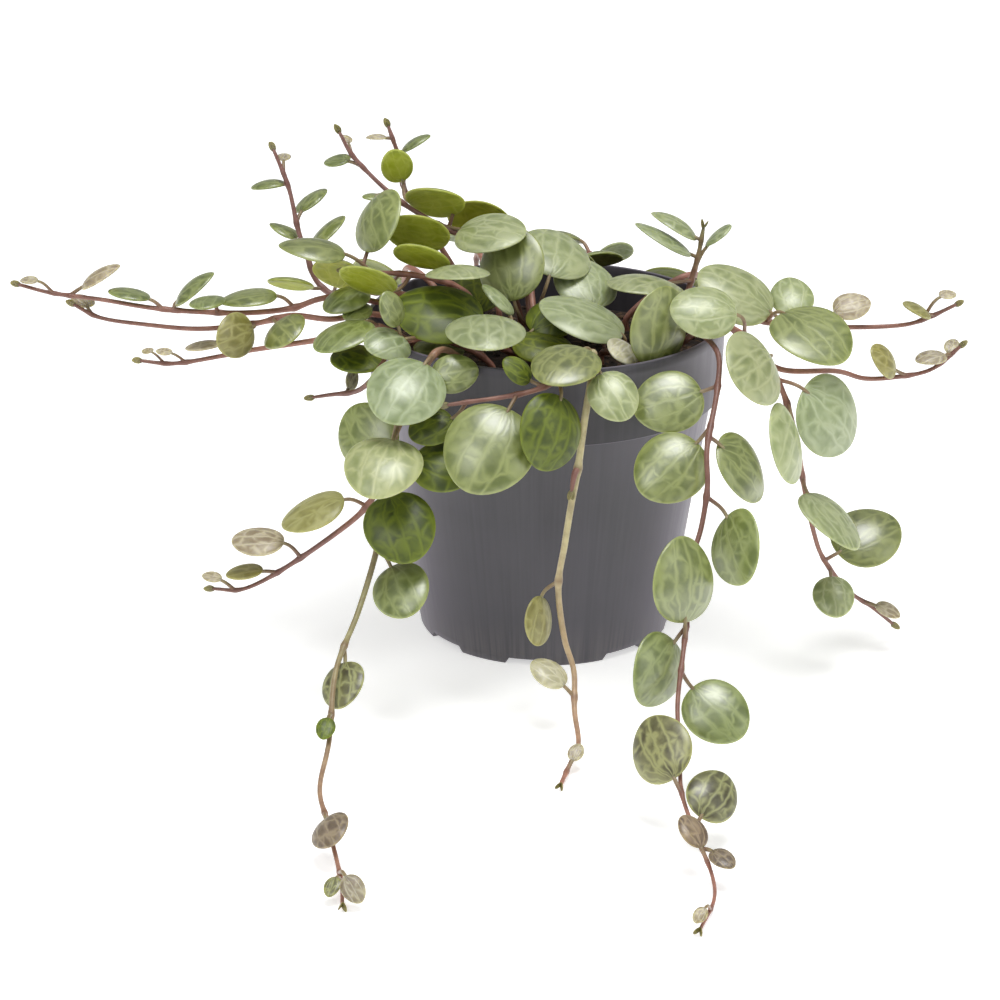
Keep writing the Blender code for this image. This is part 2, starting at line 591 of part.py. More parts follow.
def grow_stem(growth, route, leaves, shoots, base=None):
    """A tapering stem along a route, from a capped foot or from a parent's side, with its leaves."""
    distances, curve = smooth_curve(route)
    total = distances[-1]
    nodes = []
    taken = []
    for x, y, z, azimuth, elevation, width in leaves:
        middle = place((x, y, z))[0]
        size = width * RIM_RADIUS / DRAWN_RADIUS
        wanted = 0.5 * leaf_length(size) + STALK_LENGTH
        station = leaf_station(distances, curve, middle, facing(azimuth, elevation), wanted, taken)
        taken.append(station)
        nodes.append((station, middle, ("leaf", azimuth, elevation, size)))
    for shoot in shoots:
        path = place(shoot["stem"])
        station = leaf_station(distances, curve, path[0], facing(0, 90), STALK_LENGTH, taken)
        taken.append(station)
        nodes.append((station, path[0], ("shoot", path, shoot["leaves"])))
    nodes.sort(key=lambda node: node[0])
    half = 1.15 * STALK_RADIUS
    plain = np.arange(STEM_STEP, total - TIP_LENGTH, STEM_STEP)
    stations = [(0.0, None, False), (total - 0.5 * TIP_LENGTH, None, False)]
    stations += [(s, None, False) for s in plain
                 if all(abs(s - node[0]) > 3 * STALK_RADIUS for node in nodes)]
    for node in nodes:
        stations += [(node[0] - half, node, False), (node[0] + half, node, True)]
    stations.sort(key=lambda station: station[0])
    tangent = np.gradient(curve, axis=0)
    side = np.cross(tangent[0], (0.3, 0.2, 1.0) if abs(unit(tangent[0])[2]) < 0.8 else (1.0, 0.2, 0.1))
    previous = base
    turn = 0.0
    start_radius = STEM_RADIUS if base is None else 0.8 * STEM_RADIUS
    for s, node, grows in stations:
        if base is not None and s < 1.5 * MM:
            continue
        index = int(np.argmin(np.abs(distances - s)))
        way = unit(tangent[index])
        side = unit(side - way * np.dot(side, way))
        up = np.cross(way, side)
        radius = start_radius + (TIP_RADIUS - start_radius) * (s / total) ** 1.5
        if node and not grows:
            toward = node[1] - curve[index]
            turn = math.atan2(np.dot(toward, up), np.dot(toward, side)) - math.tau / 8
        ring = growth.ring(curve[index], side, up, radius, turn)
        if previous is None:
            growth.faces.append(tuple(reversed(ring)))
            previous = ring
            continue
        ring = growth.nearest_turn(previous, ring)
        if not grows:
            growth.join(previous, ring)
            previous = ring
            continue
        centre = middle_of(growth, previous + ring)
        sides = [[previous[k], previous[(k + 1) % 4], ring[k], ring[(k + 1) % 4]] for k in range(4)]
        outs = [middle_of(growth, corners) - centre for corners in sides]
        skip = int(np.argmax([np.dot(unit(out), unit(node[1] - centre)) for out in outs]))
        growth.join(previous, ring, skip)
        after = (skip + 1) % 4
        mouth = [previous[skip], previous[after], ring[after], ring[skip]]
        kind = node[2]
        if kind[0] == "leaf":
            grow_leaf(growth, mouth, node[1], *kind[1:])
        else:
            grow_stem(growth, np.vstack([middle_of(growth, mouth), kind[1]]), kind[2], [], base=mouth)
        previous = ring
    tip = growth.add(curve[-1])
    for k in range(4):
        growth.faces.append((previous[k], previous[(k + 1) % 4], tip))


def foot_points(foot):
    """The stem's upright foot, in its socket and just above the soil."""
    x, y = place((*foot, POT_PART))[0][:2]
    soil = soil_height(x, y)
    return [(x, y, soil - FOOT_DEPTH), (x, y, soil), (x, y, soil + 0.8 * FOOT_DEPTH)]


def alternate_leaves(foot, vine):
    """Leaf rows for a back vine: by turns on its two sides, facing up and out, smaller to the tip."""
    route = np.vstack([(*foot, DRAWN_HEIGHT - 8), vine["stem"]])
    distances, curve = smooth_curve(route, 0.25)
    rows = []
    for index in range(vine["count"]):
        share = index / (vine["count"] - 1)
        s = vine["leaves_from"] + (vine["leaves_to"] - vine["leaves_from"]) * share
        at = int(np.argmin(np.abs(distances - min(s, distances[-1] - 2))))
        width = vine["widths"][0] + (vine["widths"][1] - vine["widths"][0]) * share
        way = unit(curve[min(at + 8, len(curve) - 1)] - curve[at - 8])
        hand = 1 if index % 2 else -1
        azimuth = vine["face"] + hand * 25
        steep = abs(way[2])
        elevation = 72 - 44 * steep
        normal = facing(azimuth, elevation)
        sideways = np.cross(way, normal)
        sideways = hand * unit(sideways - normal * np.dot(sideways, normal))
        out = unit(sideways + 0.7 * way)
        middle = curve[at] + out * (0.56 * width + 2.0) + normal * 1.6
        low = 0.5 * width * math.cos(math.radians(elevation)) + 1.0
        rows.append((middle[0], middle[1], max(middle[2], low), azimuth, elevation, width))
    return rows


def build_vine(name, foot, stem, leaves, shoots):
    """One vine as one closed piece: its foot in the soil, its stem, leaves and side shoots."""
    route = np.vstack([foot_points(foot), place(stem)])
    growth = Growth()
    grow_stem(growth, route, leaves, shoots)
    mesh = bpy.data.meshes.new(name)
    mesh.from_pydata(growth.points, [], growth.faces)
    mesh.update()
    mesh.shade_smooth()
    mesh.set_sharp_from_angle(angle=math.radians(40))
    add_object(name, mesh, make_material(name + " skin", VINE_COLOUR, 0.4))


def main():
    clear_scene()
    feet = [vine["foot"] for vine in list(VINES.values()) + list(BACK_VINES.values())]
    build_pot()
    build_soil([place((*foot, POT_PART))[0][:2] for foot in feet])
    for name, vine in VINES.items():
        build_vine(name, vine["foot"], vine["stem"], vine["leaves"], vine["shoots"])
    for name, vine in BACK_VINES.items():
        build_vine(name, vine["foot"], vine["stem"], alternate_leaves(vine["foot"], vine), [])


if __name__ == "__main__":
    main()
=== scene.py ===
import math

import bpy
import numpy as np
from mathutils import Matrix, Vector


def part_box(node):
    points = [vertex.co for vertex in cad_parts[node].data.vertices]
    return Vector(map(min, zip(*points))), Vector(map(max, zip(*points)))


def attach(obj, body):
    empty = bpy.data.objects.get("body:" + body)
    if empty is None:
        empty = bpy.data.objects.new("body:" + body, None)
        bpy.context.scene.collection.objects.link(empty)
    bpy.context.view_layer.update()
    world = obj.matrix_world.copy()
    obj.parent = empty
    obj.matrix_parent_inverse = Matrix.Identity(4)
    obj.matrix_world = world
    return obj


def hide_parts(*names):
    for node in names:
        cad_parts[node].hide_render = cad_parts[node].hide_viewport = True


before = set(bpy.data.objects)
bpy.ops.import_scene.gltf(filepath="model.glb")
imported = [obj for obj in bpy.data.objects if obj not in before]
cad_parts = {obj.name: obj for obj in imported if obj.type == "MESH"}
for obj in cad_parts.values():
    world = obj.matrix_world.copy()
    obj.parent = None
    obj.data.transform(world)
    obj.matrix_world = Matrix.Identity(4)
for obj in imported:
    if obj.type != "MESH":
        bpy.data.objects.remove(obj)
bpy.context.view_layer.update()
mm = 0.001
draws = np.random.default_rng(12)

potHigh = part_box("pot")[1]
soilLow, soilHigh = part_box("soil")
rimRadius = potHigh[0]
potHeight = potHigh[2]
soilCrown = 1.5 * mm  # how far the middle of the soil stands over its edge
print("frame loaded:", len(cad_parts), "nodes")


def tint(red, green, blue):
    # screen colour 0-255 to the linear colour that shaders take
    c = np.array([red, green, blue]) / 255
    linear = np.where(c <= 0.04045, c / 12.92, ((c + 0.055) / 1.055) ** 2.4)
    return (*(float(v) for v in linear), 1.0)


def wire(tree, kind, ins=(), **settings):
    # a node with its settings made and its inputs filled: a socket is linked, a value is set
    node = tree.nodes.new(kind)
    for key, value in settings.items():
        setattr(node, key, value)
    for where, value in (ins.items() if isinstance(ins, dict) else enumerate(ins)):
        if isinstance(value, bpy.types.NodeSocket):
            tree.links.new(value, node.inputs[where])
        elif value is not None:
            node.inputs[where].default_value = value
    return node


def calc(tree, operation, *values):
    return wire(tree, "ShaderNodeMath", values, operation=operation).outputs[0]


def ramp(tree, value, low, high):
    # 0 below low, 1 above high, smooth between
    node = wire(tree, "ShaderNodeMapRange", {"Value": value, "From Min": low, "From Max": high},
                interpolation_type="SMOOTHSTEP", clamp=True)
    return node.outputs["Result"]


def blendColour(tree, share, first, second, how="MIX"):
    # first where share is 0, second where it is 1
    node = wire(tree, "ShaderNodeMix", data_type="RGBA", blend_type=how, clamp_factor=True)
    colours = ((node.inputs[0], share), (node.inputs[6], first), (node.inputs[7], second))
    for socket, value in colours:
        if isinstance(value, bpy.types.NodeSocket):
            tree.links.new(value, socket)
        else:
            socket.default_value = value
    return node.outputs[2]


def newGroup(name, ins, outs):
    # a node group with named inputs and outputs, each given as (label, kind of number)
    group = bpy.data.node_groups.new(name, "ShaderNodeTree")
    for side, sockets in (("INPUT", ins), ("OUTPUT", outs)):
        for label, kind in sockets:
            group.interface.new_socket(label, in_out=side, socket_type="NodeSocket" + kind)
    return group, group.nodes.new("NodeGroupInput"), group.nodes.new("NodeGroupOutput")


def newMaterial(name, roughness, **fixed):
    # a Principled material: each named value that is the same all over goes on its own socket
    material = bpy.data.materials.new(name)
    material.use_nodes = True
    tree = material.node_tree
    shader = tree.nodes["Principled BSDF"]
    shader.inputs["Roughness"].default_value = roughness
    for key, value in fixed.items():
        shader.inputs[key.replace("_", " ")].default_value = value
    return material, tree, shader


def makeGrain():
    # fine unevenness: a soft noise for tone and a finer one for relief, on any coordinates
    group, start, end = newGroup(
        "grain", [("Place", "Vector"), ("Coarse", "Float"), ("Fine", "Float")],
        [("Tone", "Float"), ("Relief", "Float")])
    place, coarseScale, fineScale = start.outputs[:3]
    coarse = wire(group, "ShaderNodeTexNoise", {"Vector": place, "Scale": coarseScale,
                                                "Detail": 4.0, "Roughness": 0.55})
    fine = wire(group, "ShaderNodeTexNoise", {"Vector": place, "Scale": fineScale,
                                              "Detail": 3.0, "Roughness": 0.6})
    group.links.new(ramp(group, coarse.outputs[0], 0.3, 0.7), end.inputs[0])
    group.links.new(fine.outputs[0], end.inputs[1])
    return group


# stalkPoint and farPoint are the two points that angles are seen from; each pair is the value
# on the smallest leaf and what is added to it on the largest
veinLook = {"stalkPoint": 1.06, "farPoint": 1.7, "swayScale": 1.7, "sway": 0.55, "sideSway": 0.4,
            "mainStep": (0.41, -0.13), "mainWidth": (-0.02, 0.14),
            "cellsAcross": (1.0, 0.6), "cellsAlong": (1.4, 1.0), "netWidth": (-0.02, 0.22),
            "fadeScale": 1.3, "fade": (0.22, 0.6), "heart": (0.08, 0.5)}


def makeTurtleVeins():
    # pale lines like a turtle's shell. On the unit disc of the leaf the sum of two angles, seen
    # from the stalk and from a point past the tip, is constant along arcs that fan out from the
    # stalk: main veins lie at its even steps, and a cell pattern on (angle, y) is the net between.
    # The third number holds two things: its whole part tells leaves apart, and its fraction is
    # how fine the net is, so a small leaf has a few wide cells and a grown one many
    v = veinLook
    group, start, end = newGroup("turtle veins", [("Place", "Vector")],
                                 [("Main", "Float"), ("Net", "Float"), ("Heart", "Float")])
    leaf = start.outputs[0]
    x, y, seed = wire(group, "ShaderNodeSeparateXYZ", [leaf]).outputs
    fine = calc(group, "FRACT", seed)

    def bySize(pair):
        return calc(group, "MULTIPLY_ADD", fine, pair[1], pair[0])

    def lineAt(distance, width):
        return calc(group, "SUBTRACT", 1.0, ramp(group, distance, *width))

    bend = wire(group, "ShaderNodeTexNoise",
                {"Vector": leaf, "Scale": v["swayScale"], "Detail": 2.0}).outputs[0]
    sway = calc(group, "MULTIPLY", calc(group, "SUBTRACT", bend, 0.5), v["sway"])
    bentX = calc(group, "ADD", x, calc(group, "MULTIPLY", sway, v["sideSway"]))
    bentY = calc(group, "ADD", y, sway)
    arc = calc(group, "ADD",
               calc(group, "ARCTAN2", bentX, calc(group, "ADD", y, v["stalkPoint"])),
               calc(group, "ARCTAN2", bentX, calc(group, "SUBTRACT", v["farPoint"], y)))
    main = lineAt(calc(group, "PINGPONG", arc, bySize(v["mainStep"])), v["mainWidth"])
    cellPlace = wire(group, "ShaderNodeCombineXYZ", [
        calc(group, "MULTIPLY", arc, bySize(v["cellsAcross"])),
        calc(group, "MULTIPLY", bentY, bySize(v["cellsAlong"])), seed]).outputs[0]
    cells = wire(group, "ShaderNodeTexVoronoi",
                 {"Vector": cellPlace, "Scale": 1.0, "Randomness": 0.85},
                 feature="DISTANCE_TO_EDGE").outputs["Distance"]
    faint = wire(group, "ShaderNodeTexNoise",
                 {"Vector": cellPlace, "Scale": v["fadeScale"], "Detail": 1.0}).outputs[0]
    net = calc(group, "MULTIPLY", lineAt(cells, v["netWidth"]), ramp(group, faint, *v["fade"]))
    group.links.new(main, end.inputs[0])
    group.links.new(net, end.inputs[1])
    group.links.new(ramp(group, cells, *v["heart"]), end.inputs[2])
    return group


grain = makeGrain()
turtleVeins = makeTurtleVeins()


def grainOn(tree, coarse, fine):
    # the grain group on Object coordinates: tone, then relief
    objectPlace = wire(tree, "ShaderNodeTexCoord").outputs["Object"]
    return wire(tree, "ShaderNodeGroup", [objectPlace, coarse, fine], node_tree=grain).outputs


def addRelief(tree, shader, height, strength, distance):
    # a bump that stands distance high where height is 1
    bump = wire(tree, "ShaderNodeBump",
                {"Height": height, "Strength": strength, "Distance": distance})
    tree.links.new(bump.outputs[0], shader.inputs["Normal"])


def named(tree, attribute):
    # what the mesh carries under that name: Color, Vector, Fac and Alpha
    return wire(tree, "ShaderNodeAttribute", attribute_name=attribute).outputs


leafLook = {"roughness": 0.54, "gloss": 0.2, "speckle": 0.1, "coat": 0.85, "coatRoughness": 0.33,
            "coatIor": 1.95, "subsurface": 0.35, "depth": 1.3 * mm, "mainVein": 0.8,
            "netVein": 0.74, "veinsBelow": 0.35, "heart": 0.4, "heartTone": (0.5, 0.52, 0.42, 1),
            "mottle": 0.3, "rim": 0.6, "rimFrom": 0.92, "grain": (420.0, 1500.0),
            "relief": 0.16 * mm}


def makeLeafSkin():
    # ground colour, darker in the heart of each cell, under pale veins and a pale rim
    v = leafLook
    skin, tree, shader = newMaterial(
        "leaf skin", v["roughness"], Coat_Roughness=v["coatRoughness"], Coat_IOR=v["coatIor"],
        Subsurface_Weight=v["subsurface"], Subsurface_Scale=v["depth"],
        Subsurface_Radius=(1.0, 1.0, 0.25))
    place = named(tree, "leafPlace")["Vector"]
    groundTone, paleTone = named(tree, "groundTone"), named(tree, "paleTone")
    ground, pale, upper = groundTone["Color"], paleTone["Color"], paleTone["Alpha"]
    shine = calc(tree, "MULTIPLY", groundTone["Alpha"], upper)
    veins = wire(tree, "ShaderNodeGroup", [place], node_tree=turtleVeins).outputs
    dots = grainOn(tree, *v["grain"])
    strong = calc(tree, "MAXIMUM", calc(tree, "MULTIPLY", veins[0], v["mainVein"]),
                  calc(tree, "MULTIPLY", veins[1], v["netVein"]))
    side = calc(tree, "MULTIPLY_ADD", upper, 1 - v["veinsBelow"], v["veinsBelow"])
    shown = calc(tree, "MULTIPLY", strong, side)
    hearts = calc(tree, "MULTIPLY", calc(tree, "MULTIPLY", veins[2], upper), v["heart"])
    deep = blendColour(tree, hearts, ground,
                       blendColour(tree, 1.0, ground, v["heartTone"], "MULTIPLY"))
    mottled = blendColour(tree, calc(tree, "MULTIPLY", dots[0], v["mottle"]), deep, pale)
    lined = blendColour(tree, shown, mottled, pale)
    flat = wire(tree, "ShaderNodeVectorMath", [place, (1, 1, 0)], operation="MULTIPLY").outputs[0]
    reach = wire(tree, "ShaderNodeVectorMath", [flat], operation="LENGTH").outputs["Value"]
    edge = calc(tree, "MULTIPLY", ramp(tree, reach, v["rimFrom"], 1.0), v["rim"])
    tree.links.new(blendColour(tree, edge, lined, pale), shader.inputs["Base Color"])
    rough = calc(tree, "MULTIPLY_ADD", shine, -v["gloss"], v["roughness"])
    speckled = calc(tree, "MULTIPLY_ADD", dots[0], v["speckle"], rough)
    tree.links.new(speckled, shader.inputs["Roughness"])
    tree.links.new(calc(tree, "MULTIPLY", shine, v["coat"]), shader.inputs["Coat Weight"])
    height = calc(tree, "MULTIPLY_ADD", strong, -0.75, calc(tree, "MULTIPLY", dots[1], 0.35))
    addRelief(tree, shader, height, 0.6, v["relief"])
    return skin


stemLook = {"roughness": 0.4, "coat": 0.2, "coatRoughness": 0.3, "subsurface": 0.2,
            "depth": 0.8 * mm, "freckle": tint(92, 52, 44), "freckleShare": 0.55, "mottle": 0.75,
            "grain": (480.0, 2400.0), "relief": 0.18 * mm}


def makeStemSkin():
    # the stem's own colour with darker freckles
    v = stemLook
    skin, tree, shader = newMaterial(
        "stem skin", v["roughness"], Coat_Weight=v["coat"], Coat_Roughness=v["coatRoughness"],
        Subsurface_Weight=v["subsurface"], Subsurface_Scale=v["depth"],
        Subsurface_Radius=(1.0, 0.6, 0.3))
    ground = named(tree, "groundTone")["Color"]
    dots = grainOn(tree, *v["grain"])
    dark = blendColour(tree, v["freckleShare"], ground, v["freckle"])
    tone = blendColour(tree, calc(tree, "MULTIPLY", dots[0], v["mottle"]), ground, dark)
    tree.links.new(tone, shader.inputs["Base Color"])
    addRelief(tree, shader, dots[1], 0.6, v["relief"])
    return skin


leafSkin = makeLeafSkin()
stemSkin = makeStemSkin()
print("plant materials made")


def unit(vectors):
    # each vector over its own length
    vectors = np.asarray(vectors, float)
    return vectors / np.maximum(np.linalg.norm(vectors, axis=-1, keepdims=True), 1e-12)


def ringQuads(rows, sides):
    # quads between neighbouring rings of points
    r, c = np.meshgrid(np.arange(rows - 1), np.arange(sides), indexing="ij")
    after = (c + 1) % sides
    quads = [r * sides + c, r * sides + after, (r + 1) * sides + after, (r + 1) * sides + c]
    return np.stack(quads, axis=-1).reshape(-1, 4)


def fan(first, sides, pole, turned):
    # triangles between a ring and the point that closes it
    c = first + np.arange(sides)
    after = first + (np.arange(sides) + 1) % sides
    pair = (after, c) if turned else (c, after)
    return np.stack([*pair, np.full(sides, pole)], axis=-1)


def endCaps(rows, sides, turned):
    # the two fans that close a stack of rings, whose poles are the last two points
    return np.vstack([fan(0, sides, rows * sides, turned),
                      fan((rows - 1) * sides, sides, rows * sides + 1, not turned)])


def setAttribute(mesh, name, kind, values):
    attribute = mesh.attributes.new(name, kind, "POINT")
    attribute.data.foreach_set("color" if kind == "FLOAT_COLOR" else "vector",
                               np.ascontiguousarray(values, np.float32).ravel())


def addPiece(name, points, faces, materials, slots=None, smooth=True):
    # an object from whole arrays: faces is a list of arrays, one for each number of corners
    mesh = bpy.data.meshes.new(name)
    sizes = np.concatenate([np.full(len(f), f.shape[1]) for f in faces])
    corners = np.concatenate([f.ravel() for f in faces]).astype(np.int32)
    starts = np.concatenate([[0], np.cumsum(sizes)[:-1]]).astype(np.int32)
    mesh.vertices.add(len(points))
    mesh.vertices.foreach_set("co", np.ascontiguousarray(points, np.float32).ravel())
    mesh.loops.add(len(corners))
    mesh.loops.foreach_set("vertex_index", corners)
    mesh.polygons.add(len(sizes))
    mesh.polygons.foreach_set("loop_start", starts)
    if slots is not None:
        mesh.polygons.foreach_set("material_index", slots.astype(np.int32))
    mesh.update(calc_edges=True)
    mesh.validate()
    if smooth:
        mesh.shade_smooth()
    for material in materials:
        mesh.materials.append(material)
    item = bpy.data.objects.new(name, mesh)
    bpy.context.scene.collection.objects.link(item)
    return item


def refine(item, levels):
    rounding = item.modifiers.new("rounding", "SUBSURF")
    rounding.levels = levels
    rounding.render_levels = levels


# the pot that the vines are laid out round, in millimetres: the radius of its rim, its height,
# and the two heights between which a vine is stretched or pressed to the real pot's height
drawn = {"radius": 30.0, "height": 55.0, "low": 4, "rim": 46}

